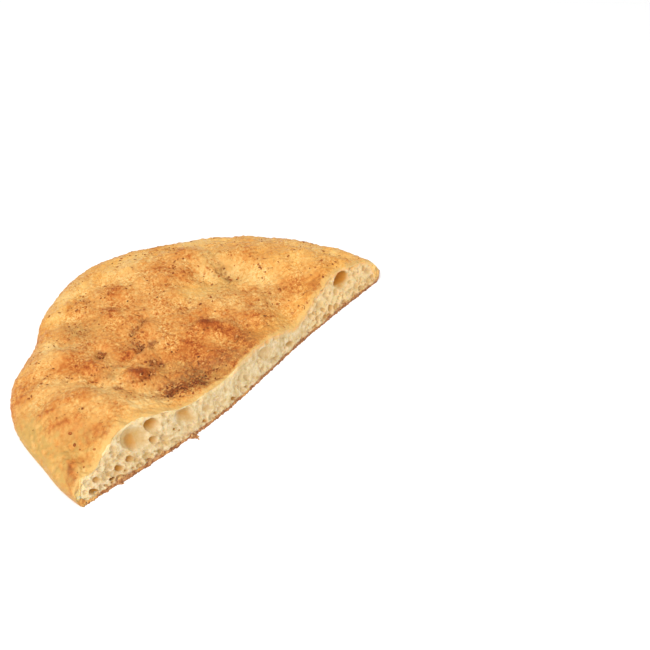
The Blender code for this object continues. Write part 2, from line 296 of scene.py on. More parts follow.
def skin_relief(place):
    """Fine relief of the skin: soft lumps, wrinkles, orange peel, blisters and creases, added.

    The lumps and wrinkles grow calm towards the rim. At the near end the skin is stretched,
    so small ripples there are drawn out along the cut.
    """
    u, v = place[..., 0], place[..., 1]
    wrinkled = fade(ripples(place, *WRINKLED_FIELDS), *WRINKLED_FROM)
    wrinkled = LEAST_WRINKLED + (1.0 - LEAST_WRINKLED) * wrinkled
    lumps = rippled(place, LUMPS) + rippled(place, WRINKLES, wrinkled)
    calm = 1.0 - RIM_CALM * fade(share_of_radius(u, v), *RIM_CALM_FROM)
    stretched = rippled(place * STRETCH, STRETCH_MARKS, spot(place, *STRETCHED_AT))
    total = lumps * calm + stretched + rippled(place, PEEL) + blister_relief(place) * calm
    for start, end, width, rise in CREASES.values():
        total = total + rise * bell(distance_to_run(u, v, start, end), width)
    return total


def station_angles(count):
    """Angles from the far tip to the near one, crowded towards both, without the tips."""
    turn = math.pi * np.arange(1, count)[:, None] / count
    return turn + STATION_CROWDING * np.sin(2.0 * turn)


def grid_normals(points):
    """Unit normal at each point of a grid, from the cross product of its two directions."""
    across = np.cross(np.gradient(points, axis=0), np.gradient(points, axis=1))
    return across / np.maximum(np.linalg.norm(across, axis=-1), 1e-9)[..., None]


def ring_faces(rows, columns):
    """Faces of a closed skin: rings of points in rows, and a tip at each end."""
    row = np.arange(rows - 1)[:, None] * columns
    column = np.arange(columns)[None, :]
    beside = (column + 1) % columns
    quads = np.stack([row + column, row + beside, row + columns + beside, row + columns + column], -1)
    first = np.arange(columns)
    after = (first + 1) % columns
    last = (rows - 1) * columns
    start_tip = np.stack([np.full(columns, rows * columns), after, first], -1)
    end_tip = np.stack([np.full(columns, rows * columns + 1), last + first, last + after], -1)
    return quads.reshape(-1, 4), np.concatenate([start_tip, end_tip])


METRES = 0.001


def make_mesh(name, points, faces, attributes):
    """A smooth-shaded mesh in the frame, whose origin is under the middle of the half loaf.

    It is made from points in the bread's plan, quads and triangles, and named values per point.
    """
    mesh = bpy.data.meshes.new(name)
    points = np.asarray(points, float).reshape(-1, 3) - (0.0, PLAN_CENTRE_V, 0.0)
    corners = np.concatenate([kind.ravel() for kind in faces]).astype(np.int32)
    sides = np.concatenate([np.full(len(kind), kind.shape[1]) for kind in faces])
    starts = np.concatenate([[0], np.cumsum(sides)[:-1]]).astype(np.int32)
    mesh.vertices.add(len(points))
    mesh.vertices.foreach_set("co", (points * METRES).astype(np.float32).ravel())
    mesh.loops.add(len(corners))
    mesh.loops.foreach_set("vertex_index", corners)
    mesh.polygons.add(len(sides))
    mesh.polygons.foreach_set("loop_start", starts)
    mesh.update(calc_edges=True)
    for label, values in attributes.items():
        made = mesh.attributes.new(label, "FLOAT", "POINT")
        made.data.foreach_set("value", np.asarray(values, np.float32).ravel())
    mesh.shade_smooth()
    piece = bpy.data.objects.new(name, mesh)
    bpy.context.scene.collection.objects.link(piece)
    return piece


# The lips of the crust at the cut, the recess behind them, and the near tip, where they close
LIP_THICKNESS = 1.05
FOOT_LIP_THICKNESS = 1.25
LIP_SHARE_OF_HEIGHT = 0.22
LIP_STEPS = 4
RECESS_DEPTH = 20.0
RECESS_SHARE_OF_DEPTH = 0.3
RECESS_STEPS = 12
ROOF_FALL = 0.12
EDGE_ROUNDING = 0.45
EDGE_ROUNDING_REACH = 1.3
CLOSED_TIP = (123.5, 127.5)
CLOSED_SHARE = 0.62
JUT_FROM_TIP = (4.0, 16.0)
RELIEF_FROM_TIP = (3.0, 16.0)
RELIEF_FROM_BASE = (1.0, WAIST_HEIGHT)
RECESS_FROM_TIP = (8.0, 26.0)

# Torn bits of the base crust along the foot of the cut: place, how far each stands out, width
FOOT_TEARS = (
    (-121.0, 0.4, 1.2),
    (-112.5, 0.4, 1.0),
    (-103.0, 1.3, 1.0),
    (-97.0, 0.4, 1.6),
    (-85.0, 0.5, 1.4),
    (-76.0, 0.3, 1.2),
    (-64.0, 0.4, 1.0),
    (-56.4, -1.3, 0.9),
    (-52.4, 2.8, 1.3),
    (-41.0, 0.5, 1.0),
    (-33.0, 0.5, 1.0),
    (-18.0, 0.5, 1.2),
    (-3.0, 0.4, 1.0),
    (14.0, 0.4, 1.0),
    (29.0, 0.4, 1.2),
)

# How far the base crust stands out besides: least at the far end, more at the near end,
# its waves and its ragged bits, as height, length and seed, and the limits of it all
FAR_JUT = 0.15
NEAR_JUT = 0.5
NEAR_JUT_FROM = (-20.0, 60.0)
JUT_WAVES = (0.12, 14.0, 36)
JUT_BITS = ((0.26, 2.6, 37), (0.16, 1.1, 38))
JUT_BITS_DOWN = 0.16
JUT_LIMITS = (0.1, 4.0)


def foot_jut(u):
    """How far the base crust stands out past the crumb: waves, ragged bits and the named tears."""
    place = np.stack([u, 0.0 * u, 0.0 * u], -1)
    waves = FAR_JUT + NEAR_JUT * fade(-u, *NEAR_JUT_FROM) + rippled(place, JUT_WAVES)
    bits = sum(np.abs(rippled(place, kind)) for kind in JUT_BITS) - JUT_BITS_DOWN
    return np.clip(waves + bits + swells(u, FOOT_TEARS), *JUT_LIMITS)


def finished_top(u, v):
    """Height of the top crust with its fine relief."""
    smooth = np.stack([u, v, top_height(u, v)], -1)
    return smooth[..., 2] + skin_relief(smooth)


# Ripples of the cut face: slow waves, tears and grit, as height, length, seed and number of waves
FACE_RIPPLES = ((0.22, 14.0, 41, 16), (0.10, 3.6, 42, 16), (0.05, 1.3, 43, 24))


def face_roughness(place):
    """How far the cut crumb stands out from a clean cut: the ripples of the cut face, added."""
    return sum(rippled(place, kind) for kind in FACE_RIPPLES)


def section_frame(stations):
    """Plan places and heights of the rim, the foot of the cut and the crust's edge at each station."""
    angle = station_angles(stations)
    radius = outline_radius(angle)
    u = radius * np.cos(angle)
    rim_v = radius * np.sin(angle)
    foot_v = cut_line(u)
    edge_v, edge_z = cut_edge(u, rim_v)
    foot_z = under_height(u, foot_v)
    face_length = np.hypot(edge_v - foot_v, edge_z - foot_z)
    return u, rim_v, foot_v, foot_z, edge_v, edge_z, face_length


def lips_at(u, face_length):
    """Thickness of the crust's lip and of the base's lip, and how far the near tip is closed.

    Both are thin along the cut, and grow until they meet and close the face at the near tip.
    """
    closed = fade(-u, *CLOSED_TIP)
    lip = np.minimum(LIP_THICKNESS, LIP_SHARE_OF_HEIGHT * face_length)
    foot_lip = np.minimum(FOOT_LIP_THICKNESS, LIP_SHARE_OF_HEIGHT * face_length)
    lip = lip + closed * (CLOSED_SHARE * face_length - lip)
    foot_lip = foot_lip + closed * ((1.0 - CLOSED_SHARE) * face_length - foot_lip)
    return lip, foot_lip, closed


def stack_points(u, v, z):
    """Points of a strip, from one u for each row and a place and height for each point."""
    return np.stack([np.broadcast_to(u, v.shape), v, z], -1)


# Width of the pale border of the crust beside the cut: place, how much wider, width of that swell
BORDER_SWELLS = ((-92.0, 1.3, 26.0), (4.0, -0.55, 26.0))
BORDER_NARROWER = 0.6
BORDER_NARROWER_FROM = (117.0, 123.0)

# Towards the near tip the brown of the base stops lower down, on the face and underneath
PALE_BASE_FROM = (113.0, 119.0)
PALE_FACE_BASE = 1.6
PALE_UNDERSIDE = 1.2
LIP_ABOVE_BASE = 0.4
FAR_FROM_BASE = 9.0
FAR_FROM_CUT = 99.0


def recess_strips(u, recess, steps, roof, fall, floor):
    """Points of the recess's roof, going in under the top crust, and of its floor, coming out again.

    Roof and floor are each a start in v and a gap: the roof stays below the finished top by its
    gap and falls by a share of the way in, and the floor stays above the underside by its gap.
    """
    inward = np.linspace(0.0, 1.0, steps + 1)[None, 1:]
    roof_v = roof[0] + inward * recess
    roof_z = finished_top(u + 0.0 * roof_v, roof_v) - roof[1] - fall * inward * recess
    floor_v = floor[0] + inward[:, ::-1] * recess
    floor_z = under_height(u + 0.0 * floor_v, floor_v) + floor[1]
    return stack_points(u, roof_v, roof_z), stack_points(u, floor_v, floor_z)


def crust_points():
    """Rings round the crust at each station, with the two tips after them.

    A ring runs from the foot of the cut along the underside to the rim, over the top to the
    crust's edge, down the lip, back into the recess, and forward again to the foot. Besides the
    points, it gives for each how far inside the crust it lies, its height above the base, how far
    it is from the cut, counted in widths of the pale border, and its fine relief.
    """
    u, rim_v, foot_v, foot_z, edge_v, edge_z, face_length = section_frame(CRUST_STATIONS)
    jut = foot_jut(u) * fade(rim_v, *JUT_FROM_TIP)
    out = np.linspace(0.0, 1.0, BASE_STEPS + 1)[None, :-1]
    base_v = foot_v - jut + (1.0 - (1.0 - out) ** BASE_CROWDING) * (rim_v - foot_v + jut)
    back = np.linspace(0.0, 1.0, TOP_STEPS + 1)[None, :]
    share = 1.0 - back * (1.0 - RIM_CROWDING * np.exp(-back / RIM_CROWDING_REACH))
    top_v = edge_v + share * (rim_v - edge_v)
    base = stack_points(u, base_v, under_height(u + 0.0 * base_v, base_v))
    top = stack_points(u, top_v, top_height(u + 0.0 * top_v, top_v))
    skin = np.concatenate([base, top], axis=1)
    from_edge = np.hypot(skin[..., 1] - edge_v, skin[..., 2] - edge_z)
    on_top = np.concatenate([0.0 * out, 0.0 * back + 1.0], axis=1)
    rounding = on_top * EDGE_ROUNDING * bell(from_edge, EDGE_ROUNDING_REACH)
    standing = fade(skin[..., 2], *RELIEF_FROM_BASE) * fade(rim_v, *RELIEF_FROM_TIP)
    relief = skin_relief(skin) * standing
    skin = skin - grid_normals(skin) * (rounding - relief)[..., None]

    lip, foot_lip, closed = lips_at(u, face_length)
    up_v = (edge_v - foot_v) / face_length
    up_z = (edge_z - foot_z) / face_length
    start_v = skin[:, -1, 1:2]
    start_z = skin[:, -1, 2:3]
    lip_steps = np.linspace(0.0, 1.0, LIP_STEPS + 1)[None, 1:]
    lip_v = start_v + lip_steps * (edge_v - up_v * lip - start_v)
    lip_z = start_z + lip_steps * (edge_z - up_z * lip - start_z)
    front = stack_points(u, lip_v, lip_z)
    front[..., 1] -= face_roughness(front) * lip_steps

    recess = np.minimum(RECESS_DEPTH, RECESS_SHARE_OF_DEPTH * (rim_v - foot_v))
    recess = recess * fade(rim_v - foot_v, *RECESS_FROM_TIP) * (1.0 - closed)
    roof = (lip_v[:, -1:], up_z * lip)
    floor = (foot_v + up_v * foot_lip, up_z * foot_lip)
    hidden = recess_strips(u, recess, RECESS_STEPS, roof, ROOF_FALL, floor)
    foot_steps = np.linspace(1.0, 0.0, LIP_STEPS + 1)[None, :-1]
    low = stack_points(u, foot_v + up_v * foot_lip * foot_steps, foot_z + up_z * foot_lip * foot_steps)
    low[..., 1] -= face_roughness(low) + jut * np.sqrt(1.0 - foot_steps)
    rings = np.concatenate([skin, front, *hidden, low], axis=1)

    skin_end = skin.shape[1]
    lip_end = skin_end + LIP_STEPS
    inside = np.zeros(rings.shape[:2])
    inside[:, skin_end:lip_end] = np.minimum(lip, LIP_THICKNESS) * lip_steps * (1.0 - closed)
    inside[:, lip_end:-LIP_STEPS] = LIP_THICKNESS
    above_base = np.full(rings.shape[:2], FAR_FROM_BASE)
    pale_base = fade(-u, *PALE_BASE_FROM)
    above_base[:, -LIP_STEPS:] = LIP_ABOVE_BASE * foot_lip * foot_steps + PALE_FACE_BASE * pale_base
    above_base[:, :BASE_STEPS] = skin[:, :BASE_STEPS, 2] + PALE_UNDERSIDE * pale_base
    border_width = swells(u, BORDER_SWELLS, 1.0) - BORDER_NARROWER * fade(-u, *BORDER_NARROWER_FROM)
    from_cut = np.zeros(rings.shape[:2])
    from_cut[:, :skin_end] = from_edge / border_width
    from_cut[:, :BASE_STEPS] = FAR_FROM_CUT
    from_cut[:, -LIP_STEPS:] = FAR_FROM_CUT
    all_relief = np.zeros(rings.shape[:2])
    all_relief[:, :skin_end] = relief
    far_tip, near_tip = outline_radius(np.array([0.0, math.pi]))
    tips = np.array([[far_tip, 0.0, WAIST_HEIGHT], [-near_tip, 0.0, WAIST_HEIGHT]])
    return rings, tips, inside, above_base, from_cut, all_relief


# Browned places: each runs between two plan points, with its width and how browned it is
BROWNED = {
    "finger ridge side": ((-56, 36), (-50, 32), 3.4, 0.18),
    "upper fold": ((-44, 50), (-38.5, 49), 2.8, 0.42),
    "olive spot": ((-72, 47), (-69.5, 46.5), 1.6, 0.34),
    "near tip hump": ((-114.2, 12.2), (-120, 13.0), 2.6, 0.20),
    "near tip hump side": ((-123.4, 11.0), (-127.8, 3.0), 2.8, 0.26),
    "shoulder mottles": ((-98, 46), (-87, 36), 6.0, 0.20),
    "shoulder front": ((-111, 37), (-101, 29), 3.8, 0.34),
    "shoulder spot": ((-108, 48), (-103, 44), 2.8, 0.36),
    "tip side": ((-113, 25), (-108, 26), 4.0, 0.16),
    "shoulder near the cut": ((-88, 13), (-80, 15), 5.0, 0.12),
    "red-brown field": ((-76, 66), (-62, 64), 8.0, 0.25),
    "field foot": ((-71, 53), (-66, 56), 4.0, 0.22),
    "near back rim": ((-104, 70), (-93, 76), 5.0, 0.34),
    "left back rim": ((-76, 90), (-46, 114), 5.0, 0.22),
    "left back slope": ((-60, 98), (-54, 104), 6.0, 0.16),
    "small pit": ((-54, 72), (-50, 73), 3.0, 0.26),
    "below the olive hollow": ((-57, 86), (-50, 80), 5.0, 0.18),
    "fold side": ((-62, 27), (-58, 30), 3.5, 0.10),
    "back spot": ((-32, 105), (-25, 108), 4.0, 0.30),
    "back slope": ((-20, 104), (-5, 100), 6.0, 0.14),
    "back red spot": ((-8, 93), (-3, 96), 4.0, 0.28),
    "hollow side": ((-34, 88), (-31, 86), 6.0, 0.22),
    "middle back spot": ((-22, 84), (-16, 85), 4.0, 0.24),
    "middle back rim": ((-6, 112), (0, 120), 5.0, 0.18),
    "middle spot": ((10, 44), (16, 45), 4.0, 0.20),
    "herb hollow end": ((-18, 22), (-14, 24), 5.0, 0.24),
    "near the cut": ((16, 14), (27, 10), 8.0, 0.20),
    "brown blister": ((34, 18), (39, 14), 4.5, 0.30),
    "cut spot": ((9, 5), (12, 7), 3.0, 0.22),
    "cut spots": ((-10, 3), (0, 8), 4.0, 0.18),
    "beside the blister": ((22, 30), (28, 23), 6.0, 0.12),
    "back ridge": ((28, 92), (31, 90), 5.0, 0.26),
    "back ridge field": ((22, 98), (44, 92), 7.0, 0.10),
    "valley end": ((20, 80), (30, 76), 7.0, 0.18),
    "dimple rim": ((37, 79), (40, 78), 3.0, 0.28),
    "back corner": ((48, 112), (56, 110), 6.0, 0.24),
    "behind the dimple": ((52, 102), (48, 86), 6.0, 0.20),
    "far field": ((78, 68), (94, 86), 11.0, 0.12),
    "far field foot": ((73, 60), (79, 62), 4.0, 0.22),
    "far slope": ((84, 54), (90, 52), 5.0, 0.16),
    "far spot": ((96, 44), (100, 46), 5.0, 0.20),
    "far front": ((98, 30), (104, 30), 6.0, 0.16),
    "far shoulder": ((65, 25), (70, 22), 6.5, 0.26),
    "far shoulder front": ((78, 14), (84, 10), 6.0, 0.32),
    "far shoulder cut": ((72, 8), (77, 8), 5.0, 0.20),
    "far tip": ((94, 14), (112, 14), 5.0, 0.16),
    "waist side": ((49, 40), (53, 39), 4.0, 0.20),
    "waist streak": ((40, 31), (44, 32), 2.2, 0.34),
    "far rim": ((104, 60), (112, 64), 7.0, 0.14),
}

# Broad, even browning: the same kind of values
EVENLY_BROWNED = {
    "red-brown blister": ((5, 34), (9, 22), 5.0, 0.52),
    "finger ridge back": ((-52.8, 37.0), (-51.6, 32.6), 2.0, 0.24),
    "finger ridge": ((-51.6, 32.0), (-47.4, 29.4), 2.4, 0.50),
    "above the blister": ((2, 41), (14, 34), 8.0, 0.14),
    "middle": ((-42, 26), (-18, 19), 11.0, 0.28),
    "below the ridge": ((-33, 33), (0, 31), 6.0, 0.26),
    "middle back": ((-34, 62), (-10, 50), 18.0, 0.13),
    "back middle": ((-30, 86), (6, 76), 14.0, 0.08),
    "near slope": ((-118, 26), (-102, 8), 9.0, 0.20),
    "cut edge": ((12, 9), (30, 9), 6.0, 0.12),
    "cut edge far": ((52, 9), (78, 9), 5.0, 0.18),
    "cut rim": ((-15, 0.6), (2, 1.6), 2.6, 0.28),
    "cut rim far": ((2, 1.6), (21, 4.6), 2.6, 0.26),
    "cut edge near": ((-46, 6), (-6, 6), 6.0, 0.12),
    "fold top": ((-30, 66), (-6, 56), 9.0, 0.05),
    "cut middle": ((-16, 10), (20, 12), 8.0, 0.24),
    "left middle": ((-68, 56), (-50, 50), 10.0, 0.12),
    "near tip": ((-114, 12.4), (-121, 12.6), 3.0, 0.18),
    "near tip side": ((-123, 11.8), (-128, 2.5), 3.0, 0.34),
    "near tip flank": ((-121, 18), (-128, 9), 3.0, 0.20),
    "shoulder at the cut": ((-104, 19), (-102, 10), 4.5, 0.30),
    "ridge field": ((-56, 34), (-34, 40), 7.0, 0.12),
    "near the blister": ((-12, 30), (-6, 20), 6.0, 0.06),
}

# Pale places, where the dough lay low or was stretched thin. The back edge entries are painted light,
# and the crest entries painted highlights.
PALE = {
    "valley": ((60, 57), (66, 38), 8.0, 0.22),
    "valley middle": ((26, 57), (44, 62), 9.0, 0.20),
    "dimple side": ((46, 73), (54, 62), 3.5, 0.26),
    "dimple far side": ((62, 66), (58, 78), 5.0, 0.14),
    "back": ((12, 104), (26, 108), 8.0, 0.18),
    "golden shoulder": ((-98, 60), (-88, 64), 8.0, 0.14),
    "fold": ((-84, 30), (-74, 33), 4.5, 0.16),
    "fold end": ((-62, 40), (-56, 43), 4.0, 0.24),
    "shoulder at the cut": ((-76, 12), (-58, 9), 6.0, 0.16),
    "groove": ((-105.5, 4), (-108.5, 12), 2.6, 0.22),
    "groove end": ((-108.5, 12), (-115, 20), 2.4, 0.16),
    "fold front": ((-64, 30), (-54, 20), 6.0, 0.08),
    "tip centre": ((-121, 7), (-117, 7), 3.0, 0.14),
    "near rim": ((-118, 50), (-121, 40), 6.0, 0.14),
    "outside the hump": ((-117, 23), (-124, 19), 4.0, 0.22),
    "inside the hump": ((-112, 16), (-117, 17), 2.2, 0.16),
    "left field": ((-64, 92), (-76, 80), 6.0, 0.16),
    "fold foot side": ((-72, 12), (-54, 20), 6.5, 0.15),
    # Painted highlights along the lit crests of the finger ridge and the fold
    "finger ridge crest": ((-55, 42), (-44, 37.6), 1.5, 0.22),
    "fold crest": ((-46, 43.2), (-18, 43), 1.8, 0.14),
    "herb hollow side": ((-34, 30), (-24, 36), 6.0, 0.10),
    "far light": ((90, 36), (96, 32), 5.0, 0.14),
    "far end": ((100, 40), (112, 26), 9.0, 0.10),
    # Painted light on the back rim, which turns away from the lamp
    "back edge near": ((-60, 104), (-26, 118), 8.0, 0.16),
    "back edge end": ((56, 108), (76, 96), 9.0, 0.18),
    "far slope": ((112, 20), (106, 60), 12.0, 0.14),
    "far back": ((60, 92), (96, 74), 12.0, 0.10),
    # Painted light on the back rim, which turns away from the lamp
    "back edge": ((-24, 116), (28, 114), 8.0, 0.20),
    "back edge far": ((60, 100), (80, 90), 7.0, 0.10),
    "fold back": ((-84, 54), (-72, 40), 8.0, 0.10),
    "left slope": ((-66, 90), (-54, 78), 7.0, 0.14),
    "waist at the cut": ((40, 5), (62, 8), 6.0, 0.10),
}

# Herb stains: oil and herb dust that have soaked into the hollows. The dimple entries also hold painted
# shade; the low rim entry is painted shade only.
STAINED_AND_SHADED = {
    "herb hollow": ((-47, 14), (-30, 8), 5.5, 0.90),
    "herb hollow streak": ((-48.5, 12.2), (-41.7, 11.2), 1.8, 0.70),
    "herb hollow streak far": ((-41.7, 11.2), (-30, 6.0), 2.2, 0.85),
    "herb hollow above": ((-46, 20), (-22, 20), 6.0, 0.40),
    "herb hollow far": ((-28, 13), (-8, 7), 6.5, 0.70),
    "herb hollow near": ((-58, 19), (-51, 16), 3.6, 0.16),
    "olive hollow": ((-47, 87), (-40, 85), 6.0, 0.55),
    "herb streak": ((-26, 62), (-13, 65), 2.2, 0.60),
    "upper fold pit": ((-32, 55), (-31.5, 48.4), 2.3, 1.05),
    "upper fold groove": ((-37.5, 46.6), (-31.5, 48), 2.0, 1.0),
    "upper fold far": ((-31.5, 48), (-25, 46.4), 1.9, 1.0),
    "finger ridge end": ((-39, 36), (-33.5, 32), 2.4, 1.0),
    "finger ridge tip": ((-45.4, 28.6), (-43, 29.2), 1.3, 1.0),
    "finger ridge edge": ((-59, 32.0), (-46, 26.8), 0.9, 0.55),
    "dark pit": ((-51.5, 61.5), (-49.5, 63.3), 2.3, 1.0),
    # Herb stain and painted shade in the finger dimple
    "dimple": ((55.5, 66), (56, 59), 2.8, 1.2),
    "dimple back": ((57, 80), (55.5, 68), 3.2, 0.50),
    "waist back": ((44, 55), (51, 53), 3.0, 0.34),
    "left spots": ((-67.5, 33.4), (-64, 32.6), 1.9, 0.85),
    "olive spots": ((-63, 43), (-58, 43.5), 2.4, 0.40),
    "fold foot": ((-66, 47), (-57, 46), 4.0, 0.30),
    "shoulder spot": ((-81, 58), (-78, 59), 2.2, 0.50),
    "near the blister": ((7, 13), (11, 15), 2.0, 0.60),
    "middle specks": ((6, 54), (10, 51), 3.0, 0.34),
    "waist specks": ((46, 27), (60, 26), 4.0, 0.26),
    "near rim": ((-120, 52), (-115, 58), 4.0, 0.22),
    # Painted shade on the low left rim
    "low rim": ((-129, 6), (-127, 18), 4.0, 0.30),
    "middle dust": ((-54, 36), (-32, 44), 9.0, 0.14),
}

# Golden places, where the crust is bright yellow. The back rim entries also carry painted light on the
# rim, which turns away from the lamp.
GOLDEN = {
    "far end": ((88, 44), (114, 30), 20.0, 0.9),
    # Yellow tone, and painted light on the back rim, which turns away from the lamp
    "left back rim": ((-84, 88), (-44, 110), 9.0, 0.4),
    "back rim": ((-44, 112), (16, 120), 11.0, 0.7),
    "far back rim": ((16, 118), (84, 92), 11.0, 0.7),
    "far cut": ((20, 8), (112, 12), 8.0, 0.8),
    "valley": ((24, 64), (46, 58), 10.0, 0.9),
    "behind the dimple": ((70, 80), (84, 74), 14.0, 0.5),
    "near cut": ((-90, 8), (-54, 4), 6.0, 0.5),
    "near slope": ((-113, 22), (-105, 6), 6.0, 0.3),
    "below the hump": ((-122, 24), (-130, 10), 5.0, 0.3),
}

# Olive places, where herb oil has run and the dough stayed yellow. The left rim and dimple entries also
# hold painted shade.
OLIVE = {
    # Olive tone, and painted shade that dims the lamp's light on the low left rim
    "left rim": ((-131, 6), (-120, 52), 12.0, 1.5),
    "shoulder foot": ((-116, 44), (-106, 28), 12.0, 0.75),
    "below the shoulder": ((-114, 24), (-106, 16), 6.0, 0.30),
    "left rim back": ((-104, 66), (-90, 72), 6.0, 0.25),
    "near slope": ((-110, 24), (-104, 10), 8.0, 0.45),
    "near tip": ((-118, 6), (-116, 8), 3.5, 0.80),
    "olive hollow": ((-48, 87), (-34, 84), 8.0, 0.75),
    "herb hollow": ((-36, 9), (-16, 6), 6.0, 0.70),
    "below the ridge": ((-38, 27), (-30, 25), 4.5, 0.80),
    "fold end": ((-62, 44), (-54, 44), 4.5, 0.55),
    "valley": ((30, 62), (62, 54), 7.0, 0.40),
    # Olive tone and painted shade in the finger dimple
    "dimple": ((56, 78), (56, 60), 6.5, 0.90),
    "waist": ((46, 28), (60, 24), 6.0, 0.40),
    "along the cut": ((-14, 4), (44, 8), 4.0, 0.55),
    "back": ((2, 96), (6, 98), 4.0, 0.35),
}


def with_tips(values, at_tips=0.0):
    """The values of all rings in one row, and after them the value of the two tips."""
    return np.concatenate([values.ravel(), [at_tips, at_tips]])


def patches(place, named):
    """Sum of a bell along the run of each named patch, times how strong it is."""
    total = np.zeros(place.shape[:-1])
    for start, end, width, amount in named.values():
        total += amount * bell(distance_to_run(place[..., 0], place[..., 1], start, end), width)
    return total


# How far the patches' edges wander, how strongly they fray, and the ripples' lengths for both
WANDER = 0.9
WANDER_LENGTH = 9.0
RAGGED = 0.28
RAGGED_LENGTH = 4.0
BROWNED_SEED = 55
STAINED_SEED = 61
OLIVE_SEED = 64


def ragged(place, named, seed):
    """The patches, with their edges shifted by ripples and their strength broken up by finer ones."""
    across = ripples(place, WANDER_LENGTH, seed)
    back = ripples(place, WANDER_LENGTH, seed + 1)
    moved = place.copy()
    moved[..., :2] += np.stack([across, back], -1) * WANDER
    return patches(moved, named) * (1.0 + RAGGED * ripples(place, RAGGED_LENGTH, seed + 2))


# Mottling of the browned crust: strength, length, seed and number of waves of its ripples
MOTTLES = ((0.025, 12.0, 51, 16), (0.025, 5.0, 52, 16))
FINE_MOTTLES = (0.04, 2.4, 54, 24)

# Small browned spots: length and seed of the ripples whose crests they are
SPOTS = (4.5, 53)
SPOT_CRESTS = (1.1, 2.2)

EVEN_TOAST = 0.33
SPOT_TOAST = 0.08
RIM_TOAST = 0.08
RAISED_TOAST = 0.08
RAISED_LIMITS = (-0.8, 0.9)
RIM_TOAST_FROM = (0.962, 0.985)
RIM_TOAST_FROM_CUT = (55.0, 80.0)
BROWNED_STRENGTH = 0.72
PALE_STRENGTH = 0.8


def toast(place, relief):
    """How browned the crust is, 0 pale to 1 dark: patches, mottling, and more on what stands up."""
    mottles = sum(rippled(place, kind) for kind in MOTTLES)
    spots = SPOT_TOAST * fade(ripples(place, *SPOTS), *SPOT_CRESTS) + rippled(place, FINE_MOTTLES)
    raised = RAISED_TOAST * np.clip(relief, *RAISED_LIMITS)
    u, v = place[..., 0], place[..., 1]
    back_rim = fade(share_of_radius(u, v), *RIM_TOAST_FROM) * fade(v, *RIM_TOAST_FROM_CUT)
    raised += RIM_TOAST * back_rim
    browned = ragged(place, BROWNED, BROWNED_SEED) + patches(place, EVENLY_BROWNED)
    # The pale patches include painted light on the back rim and painted highlights along the crests.
    browned = BROWNED_STRENGTH * browned - PALE_STRENGTH * patches(place, PALE)
    return EVEN_TOAST + mottles + spots + raised + browned


def add(tree, kind, inputs, **settings):
    """Add a node, and fill each input, named or counted, with a value or another node's output."""
    made = tree.nodes.new(kind)
    for name, value in settings.items():
        setattr(made, name, value)
    for name, value in inputs.items():
        if isinstance(value, bpy.types.NodeSocket):
            tree.links.new(value, made.inputs[name])
        else:
            made.inputs[name].default_value = value
    return made


def tint(red, green, blue):
    """A colour given as it looks on a screen, 0 to 255, made linear with an alpha of 1."""
    seen = np.array([red, green, blue]) / 255.0
    linear = np.where(seen <= 0.04045, seen / 12.92, ((seen + 0.055) / 1.055) ** 2.4)
    return (*(float(value) for value in linear), 1.0)


def value_of(tree, name):
    """The value that the mesh carries under a name at each point."""
    return add(tree, "ShaderNodeAttribute", {}, attribute_name=name).outputs["Fac"]


def noise(tree, size, detail=2.0, roughness=0.5):
    """Noise whose lumps are about one size in millimetres, centred on 0.5."""
    place = add(tree, "ShaderNodeTexCoord", {}).outputs["Object"]
    inputs = {"Vector": place, "Scale": 1000.0 / size, "Detail": detail, "Roughness": roughness}
    return add(tree, "ShaderNodeTexNoise", inputs).outputs["Fac"]


def plus(tree, first, second):
    """The sum of two values."""
    return add(tree, "ShaderNodeMath", {0: first, 1: second}, operation="ADD").outputs[0]


def times(tree, first, second, clamp=False):
    """The product of two values."""
    inputs = {0: first, 1: second}
    return add(tree, "ShaderNodeMath", inputs, operation="MULTIPLY", use_clamp=clamp).outputs[0]


def spread(tree, value, low, high, to_low=0.0, to_high=1.0):
    """Carry a range of values smoothly onto another one."""
    inputs = {"Value": value, "From Min": low, "From Max": high, "To Min": to_low, "To Max": to_high}
    return add(tree, "ShaderNodeMapRange", inputs, interpolation_type="SMOOTHSTEP").outputs["Result"]


def mottle(tree, size, detail, counts, becomes=(0.0, 1.0), roughness=0.5):
    """Noise of one size. The range of it that counts is carried smoothly onto another range."""
    return spread(tree, noise(tree, size, detail, roughness), *counts, *becomes)


# Where the mixing node has its share, its two colours and its result
MIXED_SHARE = 0
MIXED_FIRST = 6
MIXED_SECOND = 7
MIXED_RESULT = 2


def blend_colours(tree, share, first, second):
    """The first colour, turning into the second by a share."""
    inputs = {MIXED_SHARE: share, MIXED_FIRST: first, MIXED_SECOND: second}
    return add(tree, "ShaderNodeMix", inputs, data_type="RGBA").outputs[MIXED_RESULT]


def lay(tree, colour, tone, share):
    """Lay a tone, given as it looks on a screen, over a colour by a share."""
    return blend_colours(tree, share, colour, tint(*tone))


def ramp(tree, value, stops):
    """A colour for each value, from stops of a place and a tone as it looks on a screen."""
    made = add(tree, "ShaderNodeValToRGB", {"Fac": value})
    band = made.color_ramp
    while len(band.elements) < len(stops):
        band.elements.new(1.0)
    for element, (place, tone) in zip(band.elements, stops):
        element.position = place
        element.color = tint(*tone)
    return made.outputs["Color"]


# How far red, green and blue light goes into the dough, as shares of the depth
DOUGH_GLOW = (1.0, 0.55, 0.25)


def finish(name, roughness, shine, depth, weight):
    """A new material into which light goes a little, by a depth in metres and a weight."""
    made = bpy.data.materials.new(name)
    made.use_nodes = True
    tree = made.node_tree
    shader = tree.nodes["Principled BSDF"]
    shader.inputs["Roughness"].default_value = roughness
    shader.inputs["Specular IOR Level"].default_value = shine
    shader.inputs["Subsurface Weight"].default_value = weight
    shader.inputs["Subsurface Radius"].default_value = DOUGH_GLOW
    shader.inputs["Subsurface Scale"].default_value = depth
    return made, tree, shader


